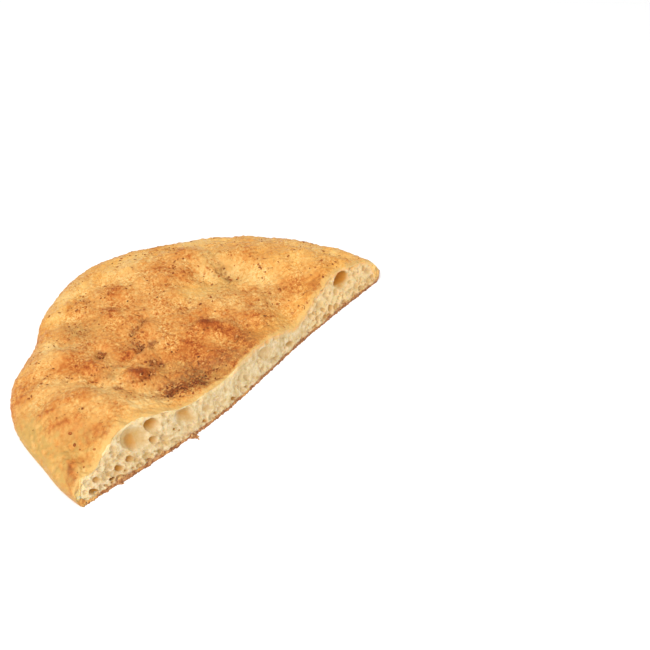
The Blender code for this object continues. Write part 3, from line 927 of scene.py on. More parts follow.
def cover(tree, shader, colour, grain, strength, depth):
    """Give the shader its colour, and a fine grain of a strength and a depth in metres."""
    tree.links.new(colour, shader.inputs["Base Color"])
    bump = add(tree, "ShaderNodeBump", {"Height": grain, "Strength": strength, "Distance": depth})
    tree.links.new(bump.outputs["Normal"], shader.inputs["Normal"])


# Tones of the browned base, by the noise that mottles it
BASE_TONES = ((0.34, (106, 56, 32)), (0.50, (152, 98, 60)), (0.66, (188, 142, 98)))


def brown_base(tree, colour):
    """Brown the last two millimetres above the underside, with a ragged upper border."""
    border = plus(tree, value_of(tree, "above_base"), mottle(tree, 3.4, 3.0, (0.25, 0.75), (-1.3, 1.3)))
    dark = ramp(tree, noise(tree, 1.6, 3.0, 0.6), BASE_TONES)
    return blend_colours(tree, spread(tree, border, 0.5, 2.3, 0.92, 0.0), colour, dark)


# Tones of the crust, by how browned it is
CRUST_TONES = (
    (0.02, (230, 194, 128)),
    (0.20, (222, 172, 100)),
    (0.40, (209, 146, 75)),
    (0.58, (193, 119, 52)),
    (0.78, (167, 86, 32)),
    (1.00, (132, 60, 20)),
)

# Glazes laid over it one after another: the mesh's value that says where, size and detail of the
# mottling, which range of it counts and what that becomes, strength, tone
CRUST_GLAZES = (
    # The golden glaze also carries painted light on the back rim
    ("golden", 7.0, 3.0, (0.25, 0.70), (0.30, 0.90), 0.55, (236, 176, 82)),
    ("herb_stain_and_shade", 2.4, 3.0, (0.25, 0.68), (0.0, 1.0), 0.95, (132, 80, 44)),
    ("herb_dust", 1.1, 2.0, (0.60, 0.72), (0.0, 1.0), 0.62, (150, 88, 42)),
    # The olive glaze also carries painted shade on the low left rim and in the dimple
    ("olive", 5.0, 3.0, (0.25, 0.75), (0.35, 0.85), 0.80, (190, 150, 82)),
)
CUT_BORDER_TONE = (214, 174, 104)
INSIDE_TONE = (218, 186, 130)


def crust_finish():
    """Golden crust: browned by the toast value, glazed in places, pale inside, brown underneath.
    Painted light brightens the back rim and the crests, and painted shade darkens the low left rim and
    the dimple.
    """
    made, tree, shader = finish("crust_skin", roughness=0.5, shine=0.13, depth=0.001, weight=0.08)
    coarse = mottle(tree, 2.0, 4.0, (0.25, 0.75), (-0.13, 0.13), 0.6)
    speckle = plus(tree, coarse, mottle(tree, 0.9, 2.0, (0.2, 0.8), (-0.19, 0.19)))
    speckle = times(tree, speckle, value_of(tree, "speckled"))
    skin = ramp(tree, plus(tree, value_of(tree, "toast"), speckle), CRUST_TONES)
    for name, size, detail, counts, becomes, strength, tone in CRUST_GLAZES:
        amount = times(tree, value_of(tree, name), mottle(tree, size, detail, counts, becomes))
        skin = lay(tree, skin, tone, times(tree, amount, strength, True))
    border = plus(tree, value_of(tree, "from_cut"), mottle(tree, 3.0, 3.0, (0.25, 0.75), (-1.6, 1.6)))
    skin = lay(tree, skin, CUT_BORDER_TONE, spread(tree, border, 0.0, 3.8, 0.8, 0.0))
    skin = lay(tree, skin, INSIDE_TONE, spread(tree, value_of(tree, "inside"), 0.1, 1.0))
    oil = mottle(tree, 14.0, 2.0, (0.35, 0.65), (0.40, 0.58))
    tree.links.new(oil, shader.inputs["Roughness"])
    grain = plus(tree, noise(tree, 1.7, 4.0, 0.6), times(tree, noise(tree, 0.5), 0.3))
    cover(tree, shader, brown_base(tree, skin), grain, strength=0.9, depth=0.0006)
    return made


# Herb dust: how much lies everywhere and how much more in the stains, and how it comes and goes
DUST_EVERYWHERE = 0.55
DUST_IN_STAINS = 1.2
DUST_VARIES = (0.5, 14.0, 67)
DUST_LIMITS = (0.2, 2.0)

# Speckling: two calm spots, each a plan place, a width and how much calmer, and how it varies
CALM_SPOTS = ((-106.0, 22.0, 36.0, 0.5), (-49.6, 31.0, 5.0, 0.7))
SPECKLES_VARY = (0.35, 16.0, 66)
SPECKLE_LIMITS = (0.3, 1.7)

# The olive tone shows less where the crust is browned
OLIVE_HIDDEN = 2.2
OLIVE_HIDDEN_LIMITS = (0.0, 0.85)

rings, tips, inside, above_base, from_cut, relief = crust_points()
points = np.concatenate([rings.reshape(-1, 3), tips])
# Herb dust lies thicker where the stains are, so also over the painted shade of the low rim and the
# dimple
dust = DUST_EVERYWHERE + DUST_IN_STAINS * patches(points, STAINED_AND_SHADED)
speckled = 1.0
for at_u, at_v, width, calmer in CALM_SPOTS:
    speckled = speckled - calmer * spot(points, at_u, at_v, width)
olive_shown = 1.0 - np.clip(OLIVE_HIDDEN * patches(points, BROWNED), *OLIVE_HIDDEN_LIMITS)
crust_values = {
    "toast": toast(points, with_tips(relief)),
    "herb_stain_and_shade": ragged(points, STAINED_AND_SHADED, STAINED_SEED),
    "herb_dust": dust * np.clip(1.0 + rippled(points, DUST_VARIES), *DUST_LIMITS),
    "speckled": speckled * np.clip(1.0 + rippled(points, SPECKLES_VARY), *SPECKLE_LIMITS),
    # The golden values also carry painted light on the back rim
    "golden": patches(points, GOLDEN),
    # The olive values also carry painted shade on the low left rim and in the dimple
    "olive": ragged(points, OLIVE, OLIVE_SEED) * olive_shown,
    "inside": with_tips(inside),
    "above_base": with_tips(above_base, FAR_FROM_BASE),
    "from_cut": with_tips(from_cut),
}
crust = make_mesh("crust", points, ring_faces(*rings.shape[:2]), crust_values)
crust.data.materials.append(crust_finish())
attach(crust, "root")
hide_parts("focaccia")


# Crumb: the cream-coloured inside of the bread, laid open by the cut.
# It is baked dough full of gas cells: a few large ones with smooth walls, many small pores.
# It fills the recess behind the crust's lip, and shows between the two skins.

CRUMB_STATIONS = 860
FACE_STEPS = 78
CRUMB_BACK_STEPS = 6
CRUMB_OVERLAP = 0.5
CRUMB_CLEARANCE = 1.25
CRUMB_BACK_GAP = 0.3
CRUMB_ROOF_FALL = 1.6 * ROOF_FALL
CRUMB_BACK_FROM_TIP = (10.0, 30.0)
SEAM_DIP = 0.35
SEAM_UNDER_CRUST = (0.0, 0.5)
SEAM_OVER_BASE = (0.0, 0.6)
SEAM_FROM_TIP = (10.0, 26.0)
NO_SEAM_FROM = (113.0, 121.0)
ROUGH_FROM_TIP = (2.0, 10.0)
ROOM_SHARE_OF_RECESS = 0.45
MOST_ROOM = 9.0
CELLS_FROM_SKINS = (-0.2, 0.7)
FACE_STANDS_OUT = 0.06
SMOOTH_IN_CELLS = 0.75
SMOOTH_FROM_DEPTH = (0.3, 1.2)
CLOSED_TIP_STANDS_OUT = 0.15
PALE_CRUMB_BASE = 0.9

# How deep the skin's tone reaches into the crumb at the tips: depth, near end (-1) or far end (1),
# and over which stretch it sets in
TIP_WRAPS = (
    (2.2, -1.0, 111.0, 125.0),
    (4.0, 1.0, 116.0, 128.0),
    (12.0, -1.0, 122.0, 129.0),
    (12.0, 1.0, 123.0, 129.0),
)

# Named cells: place along the cut and height, half length, half height, depth, tilt in degrees,
# how far the wall swings round the cell in degrees, how much painted shade it gets inside, warm
# as light bounced in it, and, where it leans, how far its deepest place lies off the middle,
# as shares of its length (towards -u) and height.
CELLS = {
    "largest": (-87.3, 17.4, 10.2, 6.7, 2.6, -39, 54, 0.35, 0.10, 0.05),
    "hollow in the largest": (-89.1, 16.9, 6.4, 5.0, 3.4, -78, 34, 0.95),
    "beside the largest": (-75.3, 18.4, 5.6, 4.1, 3.4, -44, 74, 1.25, 0.42, -0.30),
    "below the two": (-76.9, 10.8, 3.0, 2.1, 2.0, -41, 92, 1.0, 0.32, 0.0),
    "near middle": (-93.6, 8.6, 3.1, 1.9, 2.0, -38, 92, 1.0, 0.15, 0.0),
    "near lower": (-100.8, 7.3, 3.1, 2.0, 2.5, -40, 96, 1.3, 0.05, 0.34),
    "near the tip": (-114.9, 8.1, 2.7, 1.8, 1.7, -40, 88, 0.8, 0.2, 0.0),
    "dark slit": (-106.4, 3.9, 2.1, 0.95, 3.4, -18, 112, 2.2),
    "tip arch": (-118.8, 3.2, 3.5, 1.9, 2.6, -35, 100, 1.7, 0.0, -0.42),
    "tip pit": (-124.7, 2.2, 1.5, 0.8, 0.9, -36, 90, 0.8),
    "slit side": (-111.0, 2.6, 1.7, 0.8, 1.0, -37, 96, 0.9),
    "low pit": (-97.7, 4.0, 1.4, 0.7, 1.0, -34, 96, 0.9),
    "low pit beside": (-93.3, 3.0, 1.3, 0.7, 0.9, -34, 96, 0.8),
    "low pit at the base": (-87.6, 2.4, 1.8, 0.9, 1.0, -36, 90, 0.7),
    "pale pit": (-83.6, 12.2, 1.7, 1.3, 0.9, -73, 80, 0.25),
    "pale upright pit": (-72.1, 9.6, 1.6, 1.1, 0.8, 87, 80, 0.3),
    "upper pale pit": (-101.5, 12.1, 1.8, 1.1, 0.8, -38, 80, 0.25),
    "upper pale pit beside": (-102.1, 15.0, 1.6, 0.9, 0.7, -37, 80, 0.25),
    "grey pit": (-77.4, 4.1, 1.7, 0.7, 0.9, -32, 92, 0.5),
    "lower shallow pit": (-83.8, 7.8, 2.0, 0.9, 0.7, -34, 76, 0.25),
    "broad bowl": (-54.0, 12.6, 7.6, 5.4, 2.1, -48, 60, 0.75, 0.20, -0.42),
    "dark speck": (-62.8, 9.5, 1.2, 0.8, 1.1, -39, 106, 1.3),
    "dark speck beside": (-59.7, 7.1, 0.8, 0.6, 0.8, -46, 104, 1.2),
    "top pit": (-64.8, 15.4, 1.8, 0.9, 0.6, -33, 76, 0.25),
    "long shallow": (-38.0, 8.4, 4.4, 2.1, 0.9, -35, 60, 0.3, 0.1, -0.2),
    "base pit 1": (-42.3, 3.0, 1.9, 0.9, 1.2, -35, 96, 1.1),
    "base pit 2": (-33.6, 3.0, 1.9, 0.9, 1.2, -35, 96, 1.1),
    "base pit 3": (-18.2, 3.0, 2.4, 1.1, 1.5, -35, 98, 1.2),
    "middle shallow": (-3.4, 7.4, 3.7, 2.0, 1.0, -37, 66, 0.35),
    "middle low": (-6.1, 3.3, 2.2, 0.9, 0.9, -34, 80, 0.6),
    "long oval": (16.3, 11.4, 7.0, 3.7, 1.3, -28, 66, 0.32, 0.25, -0.15),
    "brown oval": (38.6, 4.6, 4.1, 1.6, 1.4, -23, 88, 0.75, 0.0, -0.3),
    "speck": (22.1, 5.1, 0.9, 0.6, 0.8, -37, 100, 1.0),
    "waist pit": (55.8, 8.6, 3.4, 1.6, 0.8, -33, 66, 0.3),
    "far low": (68.0, 5.1, 2.6, 1.8, 1.3, -41, 84, 0.6, 0.2, 0.0),
    "far pale": (71.6, 11.5, 4.0, 3.0, 1.3, -50, 70, 0.3, 0.1, -0.1),
    "far pale above": (79.0, 15.0, 3.0, 2.2, 1.1, -40, 70, 0.3, 0.1, 0.0),
    "far green": (81.2, 4.9, 3.3, 2.5, 1.9, -49, 90, 0.75, 0.3, -0.1),
    "far largest": (96.1, 16.6, 7.8, 5.0, 4.0, -12, 82, 3.0, 0.10, -0.42),
    "far largest foot": (93.6, 13.9, 4.8, 2.8, 1.2, -29, 54, 1.0, 0.0, -0.2),
    "far shallow": (108.3, 5.6, 3.5, 2.6, 1.1, -64, 66, 0.35, 0.2, 0.0),
    "far tip pit": (117.5, 3.0, 1.6, 0.9, 0.9, -33, 88, 0.8),
    "far tip shallow": (121.0, 10.5, 4.0, 2.0, 0.9, -29, 66, 0.5),
}

# Small cells, scattered: count, half length from and to, how rare the long ones are,
# depth from and to as shares of the half length, and the most painted shade inside them
SCATTERED_CELLS = {
    "pores": (620, 0.3, 1.7, 2.4, 0.25, 0.75, 0.45),
    "bubbles": (230, 1.2, 3.2, 1.5, 0.24, 0.56, 0.50),
}
PORE_SEED = 17
PORE_SLENDERNESS = (0.5, 0.85)
PORE_TILT = (-48.0, -20.0)
PORE_SWING = (55.0, 90.0)
PORE_LEAN = (-0.1, 0.35)
PORE_CELL_SHADE = (0.1, 1.0)
LOWEST_PORE = 1.8
PORE_HEIGHTS = 21.0
PORE_HEIGHT_POWER = 1.3
LOW_PORES_CELL_SHADE = 1.2
LOW_PORES_HEIGHT = 4.0
DRAWN_FOR_ONE = 3

# How crowded the small cells are: everywhere, and more at a place along the cut, over a width
PORES_EVERYWHERE = 0.30
CROWDED_PORES = ((-98.0, 0.55, 34.0), (92.0, 0.5, 36.0))

# Small cells are shallower and paler where they are few, which is in the middle
CALM_PORES = 0.62
CALM_CROWDING = (0.32, 0.65)

# How far out a cell is worked out and where its soft rim ends, as shares of its length, how deep
# that rim is as a share of the cell's depth, and how uneven the mouth is, with how many lobes and
# how much they turn from cell to cell
REACH_OF_CELL = 1.5
RIM_OF_CELL = 1.18
RIM_SHARE_OF_DEPTH = 0.10
UNEVEN_MOUTH = 0.05
MOUTH_LOBES = 3.0
MOUTH_TURNS = 7.0
CELL_SHADE_POWER = 1.5
SMALL = 1e-6


def clear_of_named(u, height, margin):
    """Which places lie outside the mouth of every named cell, by at least the margin."""
    clear = np.full(u.shape, True)
    for at_u, at_height, half_length, half_height, _, tilt, *_ in CELLS.values():
        turn = math.radians(tilt)
        along, up = u - at_u, (height - at_height) / math.cos(CUT_SLANT)
        far = (along * math.cos(turn) + up * math.sin(turn)) / (half_length + margin)
        high = (up * math.cos(turn) - along * math.sin(turn)) / (half_height + margin)
        clear &= np.hypot(far, high) > 1.0
    return clear


def small_cells():
    """Small cells scattered over the face, denser in the thick ends and low down.

    More are drawn than are kept, because some fall where cells are few or into a named cell.
    """
    draw = np.random.default_rng(PORE_SEED)
    rows = []
    for count, shortest, longest, rarity, shallow, steep, most_shade in SCATTERED_CELLS.values():
        drawn = DRAWN_FOR_ONE * count
        u = draw.uniform(-RADIUS, RADIUS, drawn)
        height = LOWEST_PORE + PORE_HEIGHTS * draw.random(drawn) ** PORE_HEIGHT_POWER
        crowding = swells(u, CROWDED_PORES, PORES_EVERYWHERE)
        kept = (draw.random(drawn) < crowding) & clear_of_named(u, height, 0.5 * shortest)
        kept = np.flatnonzero(kept)[:count]
        u, height, number = u[kept], height[kept], len(kept)
        calm = CALM_PORES + (1.0 - CALM_PORES) * fade(crowding[kept], *CALM_CROWDING)
        half = shortest + (longest - shortest) * draw.random(number) ** rarity
        slender = draw.uniform(*PORE_SLENDERNESS, number)
        depth = half * draw.uniform(shallow, steep, number) * calm
        tilt = draw.uniform(*PORE_TILT, number)
        swing = draw.uniform(*PORE_SWING, number)
        # Pores low down get more of the painted shade.
        warmer_below = 1.0 + LOW_PORES_CELL_SHADE * bell(height, LOW_PORES_HEIGHT)
        cell_shade = draw.uniform(*PORE_CELL_SHADE, number) * most_shade * warmer_below * calm
        lean = draw.uniform(*PORE_LEAN, number)
        cells = (u, height, half, half * slender, depth, tilt, swing, cell_shade, lean, 0.0 * lean)
        rows.append(np.stack(cells, -1))
    return np.concatenate(rows)


def open_cells(along, up, room):
    """Sink the cells into the face. Returns the sideways moves, the depth and the painted shade of each
    point.

    A cell is part of a ball behind its mouth. A point at share r of the way from the middle to
    the rim of the mouth swings by r times the cell's swing round that ball, so it moves
    sideways to sin(swing r) / sin(swing) and sinks by cos(swing r) - cos(swing). To lean a
    cell, its shares are first moved by the lean times 1 - r^2, which leaves the rim in place.
    """
    moved_along = np.zeros_like(along)
    moved_up = np.zeros_like(up)
    depth_here = np.zeros_like(along)
    cell_shade = np.zeros_like(along)
    for cell in (*small_cells(), *CELLS.values()):
        u, height, half_length, half_height, depth, tilt, swing, shade_amount, *lean = cell
        lean_back, lean_down = lean or (0.0, 0.0)
        middle_up = height / math.cos(CUT_SLANT)
        furthest = np.maximum(np.abs(along - u), np.abs(up - middle_up))
        near = np.nonzero(furthest < REACH_OF_CELL * half_length)
        d_along = along[near] - u
        d_up = up[near] - middle_up
        turn = math.radians(tilt)
        length_share = (d_along * math.cos(turn) + d_up * math.sin(turn)) / half_length
        height_share = (d_up * math.cos(turn) - d_along * math.sin(turn)) / half_height
        around = np.arctan2(height_share, length_share)
        uneven = 1.0 + UNEVEN_MOUTH * np.sin(MOUTH_LOBES * around + MOUTH_TURNS * u)
        reach = np.hypot(length_share, height_share) * uneven
        room_to_lean = np.clip(1.0 - reach ** 2, 0.0, 1.0)
        length_share = length_share * uneven + lean_back * room_to_lean
        height_share = height_share * uneven + lean_down * room_to_lean
        share = np.hypot(length_share, height_share)
        limit = math.radians(swing)
        swung = limit * np.minimum(share, 1.0)
        deep = np.minimum(depth, room[near])
        sunk = deep * (np.cos(swung) - math.cos(limit)) / (1.0 - math.cos(limit))
        soft_edge = np.clip((RIM_OF_CELL - share) / (RIM_OF_CELL - 1.0), 0.0, 1.0) ** 2
        sunk += RIM_SHARE_OF_DEPTH * deep * soft_edge
        outward = np.sin(swung) / math.sin(limit) / np.maximum(share, SMALL) - 1.0
        outward = np.where(share < 1.0, outward, 0.0)
        shift_length = half_length * length_share * outward
        shift_height = half_height * height_share * outward
        deeper = (share < RIM_OF_CELL) & (sunk > depth_here[near])
        chosen = tuple(index[deeper] for index in near)
        moved_along[chosen] = (shift_length * math.cos(turn) - shift_height * math.sin(turn))[deeper]
        moved_up[chosen] = (shift_length * math.sin(turn) + shift_height * math.cos(turn))[deeper]
        depth_here[chosen] = sunk[deeper]
        depth_share = np.minimum(sunk[deeper] / np.maximum(deep[deeper], SMALL), 1.0)
        # Painted shade, strongest where the cell is deepest.
        cell_shade[chosen] = shade_amount * depth_share ** CELL_SHADE_POWER
    return moved_along, moved_up, depth_here, cell_shade


def crumb_points():
    """Rings round the slab of crumb at each station, and the values at its points.

    A ring runs up the cut face, back under the top crust, and forward over the bottom crust.
    """
    u, rim_v, foot_v, foot_z, edge_v, edge_z, face_length = section_frame(CRUMB_STATIONS)
    lip, foot_lip, closed = lips_at(u, face_length)
    low = CRUMB_OVERLAP * foot_lip
    high = face_length - CRUMB_OVERLAP * lip
    climb = np.linspace(0.0, 1.0, FACE_STEPS + 1)[None, :]
    up = low + climb * (high - low)
    along = np.broadcast_to(u, up.shape).copy()
    from_top = face_length - up
    seams = fade(lip - from_top, *SEAM_UNDER_CRUST) + fade(foot_lip - up, *SEAM_OVER_BASE)
    dip = SEAM_DIP * seams
    dip = dip * fade(rim_v, *SEAM_FROM_TIP) * (1.0 - fade(-u, *NO_SEAM_FROM))
    room = ROOM_SHARE_OF_RECESS * RECESS_SHARE_OF_DEPTH * (rim_v - foot_v)
    room = np.clip(room, 0.0, MOST_ROOM) + 0.0 * up
    move_along, move_up, sunk, cell_shade = open_cells(along, up, room)
    inner = fade(np.minimum(from_top - lip, up - foot_lip), *CELLS_FROM_SKINS)
    sunk = sunk * inner
    move_along = move_along * inner
    move_up = move_up * inner
    up_v = (edge_v - foot_v) / face_length
    up_z = (edge_z - foot_z) / face_length
    face_v = foot_v + up_v * (up + move_up)
    face_z = foot_z + up_z * (up + move_up)
    face = np.stack([along + move_along, face_v, face_z], -1)
    rough = face_roughness(stack_points(u, foot_v + up_v * up, foot_z + up_z * up))
    tips_calm = fade(rim_v, *ROUGH_FROM_TIP)
    smoothed = 1.0 - SMOOTH_IN_CELLS * fade(sunk, *SMOOTH_FROM_DEPTH)
    outward = (rough + FACE_STANDS_OUT) * tips_calm * smoothed
    outward = outward - dip - sunk + CLOSED_TIP_STANDS_OUT * closed
    face[..., 1] -= outward * up_z
    face[..., 2] += outward * up_v

    recess = np.minimum(RECESS_DEPTH, RECESS_SHARE_OF_DEPTH * (rim_v - foot_v)) - CRUMB_BACK_GAP
    recess = np.maximum(recess, 0.0) * fade(rim_v - foot_v, *CRUMB_BACK_FROM_TIP)
    roof = (foot_v + up_v * high, up_z * CRUMB_CLEARANCE * lip)
    floor = (foot_v + up_v * low, up_z * CRUMB_CLEARANCE * foot_lip)
    hidden = recess_strips(u, recess, CRUMB_BACK_STEPS, roof, CRUMB_ROOF_FALL, floor)
    rings = np.concatenate([face, *hidden], axis=1)
    wrap = sum(depth * fade(side * u, *reach) for depth, side, *reach in TIP_WRAPS)
    on_face = {
        "from_top": (from_top, 0.0),
        "skin_wrap": (wrap - from_top, 0.0),
        "along_cut": (along, u),
        "above_base": (up + PALE_CRUMB_BASE * fade(-u, *PALE_BASE_FROM), FAR_FROM_BASE),
        "cell_depth": (sunk, 0.0),
        "cell_shade": (cell_shade * inner, 0.0),
    }
    back = np.zeros((rings.shape[0], 2 * CRUMB_BACK_STEPS))
    values = {}
    for name, (seen, behind) in on_face.items():
        values[name] = with_tips(np.concatenate([seen, back + behind], axis=1))
    return rings, values


# Tones of the crumb, by the noise that mottles it
CRUMB_TONES = ((0.32, (188, 157, 105)), (0.50, (204, 180, 136)), (0.66, (215, 196, 159)))
FAR_CRUMB_TONE = (226, 194, 140)
# Painted shade of pores too small to be modelled
PORE_SHADE_TONE = (174, 138, 84)
# Painted shade in the cells: darker and warmer the deeper they go, as shade and light bounced inside
# look
CELL_DEPTH_SHADE_TONE = (190, 154, 90)
CELL_SHADE_TONE = (182, 126, 50)
DEEP_CELL_SHADE_TONE = (172, 106, 22)
UNDER_CRUST_NEAR_TONE = (226, 198, 146)
UNDER_CRUST_FAR_TONE = (225, 166, 90)
NEAR_TIP_TONE = (234, 212, 166)
WRAP_TONE = (230, 184, 114)


def crumb_finish():
    """Cream crumb, mottled, with painted shade in its pores and deep in its cells, yellow under the top
    crust, brown at the base.
    """
    made, tree, shader = finish("crumb_open", roughness=0.72, shine=0.25, depth=0.0026, weight=0.5)
    along_cut = value_of(tree, "along_cut")
    cell_shade = value_of(tree, "cell_shade")
    colour = ramp(tree, noise(tree, 3.2, 4.0, 0.6), CRUMB_TONES)
    colour = lay(tree, colour, FAR_CRUMB_TONE, spread(tree, along_cut, 30.0, 95.0, 0.0, 0.6))
    # Painted shade: dark mottles for tiny pores, then the cells darker and warmer with depth
    colour = lay(tree, colour, PORE_SHADE_TONE, mottle(tree, 0.9, 2.0, (0.30, 0.46), (0.28, 0.0)))
    shade_in_cells = spread(tree, value_of(tree, "cell_depth"), 0.1, 2.6, 0.0, 0.55)
    colour = lay(tree, colour, CELL_DEPTH_SHADE_TONE, shade_in_cells)
    colour = lay(tree, colour, CELL_SHADE_TONE, times(tree, cell_shade, 0.85, True))
    colour = lay(tree, colour, DEEP_CELL_SHADE_TONE, spread(tree, cell_shade, 1.0, 2.4, 0.0, 0.8))
    far_share = spread(tree, along_cut, -28.0, 14.0)
    under = lay(tree, tint(*UNDER_CRUST_NEAR_TONE), UNDER_CRUST_FAR_TONE, far_share)
    border = plus(tree, value_of(tree, "from_top"), mottle(tree, 3.0, 2.0, (0.2, 0.8), (-0.8, 0.8)))
    colour = blend_colours(tree, spread(tree, border, 0.6, 4.0, 0.8, 0.0), colour, under)
    colour = lay(tree, colour, NEAR_TIP_TONE, spread(tree, along_cut, -122.0, -117.0, 0.45, 0.0))
    wrap = plus(tree, value_of(tree, "skin_wrap"), mottle(tree, 3.0, 2.0, (0.2, 0.8), (-1.0, 1.0)))
    colour = lay(tree, colour, WRAP_TONE, spread(tree, wrap, 0.0, 2.0, 0.0, 0.9))
    grain = plus(tree, noise(tree, 0.9, 3.0, 0.65), times(tree, noise(tree, 0.3), 0.4))
    cover(tree, shader, brown_base(tree, colour), grain, strength=0.6, depth=0.0003)
    return made


rings, crumb_values = crumb_points()
points = np.concatenate([rings.reshape(-1, 3), tips])
crumb = make_mesh("crumb", points, ring_faces(*rings.shape[:2]), crumb_values)
crumb.data.materials.append(crumb_finish())
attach(crumb, "root")
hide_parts("focaccia")


# Oregano: broken dried leaves, toasted golden brown to dark brown, each a thin curled scrap.
# They are strewn on the oiled dough before baking, so they gather in its hollows
# and lie scattered over the rest, half baked into the skin.

# The gathering in the herb hollow, where the leaves are the most toasted
HOLLOW_STREAK = ((-49.5, 12.2), (-31.0, 6.2))
HOLLOW_STREAK_WIDTH = 3.0
TOASTED_IN_HOLLOW = 0.28

# Gatherings: each runs between two plan points, with its spread and its count
GATHERINGS = (
    ((-50, 14), (-29, 7), 3.2, 340),
    (*HOLLOW_STREAK, 1.4, 190),
    ((-30, 17), (-10, 8), 4.5, 170),
    ((-60, 22), (-52, 14), 3.0, 24),
    ((-32, 55), (-31.5, 48.4), 1.4, 80),
    ((-37.5, 46.6), (-31.5, 48), 1.1, 60),
    ((-31.5, 48), (-25, 46.4), 1.0, 60),
    ((-39, 36), (-33.5, 32), 1.5, 80),
    ((-45.8, 28.4), (-42, 29.4), 0.9, 48),
    ((-59, 32.4), (-46, 27.4), 0.9, 24),
    ((-27, 61), (-12, 65), 1.4, 52),
    ((-51.5, 61.5), (-49.5, 63.3), 1.1, 44),
    ((55.5, 66), (57, 57.5), 1.4, 16),
    ((57, 80), (55.5, 69), 1.7, 10),
    ((44, 55), (51, 53), 2.4, 12),
    ((-67.5, 33.4), (-64, 32.6), 1.1, 34),
    ((-66, 47), (-57, 46), 3.4, 30),
    ((-81, 58), (-78, 59), 1.2, 16),
    ((-48, 88), (-38, 85), 4.5, 34),
    ((7, 13), (11, 15), 1.5, 18),
    ((6, 54), (10, 51), 2.2, 24),
    ((44, 28), (60, 24), 4.5, 44),
    ((36, 14), (40, 12), 1.6, 14),
    ((71, 49), (72, 48), 1.2, 10),
    ((30, 88), (40, 80), 4.0, 30),
    ((-6, 35), (-2, 33), 1.6, 14),
    ((-108, 30), (-96, 20), 6.0, 6),
)
SCATTERED = 1300
LEAF_SEED = 23
LEAF_LENGTH = (0.5, 2.5)
LONG_LEAVES_RARE = 2.8
LEAF_SLENDERNESS = (0.4, 0.8)
LEAF_THICKNESS = 0.16
LEAF_THICKNESS_VARIES = (0.7, 1.5)
LEAF_TOASTED = (0.38, 0.26)
LEAF_CURL = (0.3, 1.0)
LEAF_NOTCH = 0.3
LEAF_POINTEDNESS = 0.7
LEAF_ENDS_THINNER = 0.4
LEAF_BEND = 0.25
LEAF_BEND_VARIES = (-0.2, 1.0)
LEAF_CUP = 0.5
LEAF_CUP_VARIES = (-0.4, 1.0)
LEAF_TWIST = 0.9
LEAF_LEAN = 0.28
LEAF_SEAT = 0.3
LEAF_LIFT = (-0.05, 0.22)
LEAF_ROWS = 4
LEAF_SIDES = 6
OPEN_SHARE = 0.965
OPEN_FROM_CUT = 1.6
FEELER = 0.6

# The even scatter: the likely share of the leaves, how it varies, and the bare shoulder, which is
# a plan place, a width and how many fewer leaves lie there
LIKELY = 0.5
LIKELY_VARIES = (0.22, 24.0, 71)
BARE_SHOULDER = (-96.0, 24.0, 36.0)
FEWER_ON_SHOULDER = 0.35


def crust_surface(u, v):
    """A point of the finished crust and its normal at each plan place, by feeling to both sides."""
    def felt(at_u, at_v):
        return np.stack([at_u, at_v, finished_top(at_u, at_v)], -1)

    here = felt(u, v)
    slope_u = felt(u + FEELER, v) - felt(u - FEELER, v)
    slope_v = felt(u, v + FEELER) - felt(u, v - FEELER)
    normal = np.cross(slope_u, slope_v)
    return here, normal / np.linalg.norm(normal, axis=-1)[..., None]


def open_crust(u, v):
    """Which plan places lie on the open crust, clear of the rim and of the cut."""
    edge, _ = cut_edge(u, np.full_like(u, RADIUS))
    return (share_of_radius(u, v) < OPEN_SHARE) & (v > edge + OPEN_FROM_CUT)


def from_range(limits, share):
    """The value that lies at a share of the way from the first limit to the second."""
    return limits[0] + (limits[1] - limits[0]) * share


def leaf_places(draw):
    """Plan places of the leaves: normal spreads round each gathering, then an even scatter.

    For the scatter twice as many are drawn as are kept, because some fall on barer places.
    """
    places = []
    for start, end, width, count in GATHERINGS:
        along = draw.random((count, 1))
        middle = np.array(start) + along * (np.array(end) - np.array(start))
        places.append(middle + draw.normal(0.0, width, (count, 2)))
    turn = math.pi * draw.random(2 * SCATTERED)
    reach = RADIUS * np.sqrt(draw.random(2 * SCATTERED))
    strewn = np.stack([reach * np.cos(turn), reach * np.sin(turn)], -1)
    flat = np.concatenate([strewn, np.zeros((len(strewn), 1))], axis=1)
    fewer = FEWER_ON_SHOULDER * spot(strewn, *BARE_SHOULDER)
    likely = draw.random(len(strewn)) < LIKELY + rippled(flat, LIKELY_VARIES) - fewer
    places.append(strewn[likely][:SCATTERED])
    places = np.concatenate(places)
    return places[open_crust(places[:, 0], places[:, 1])]


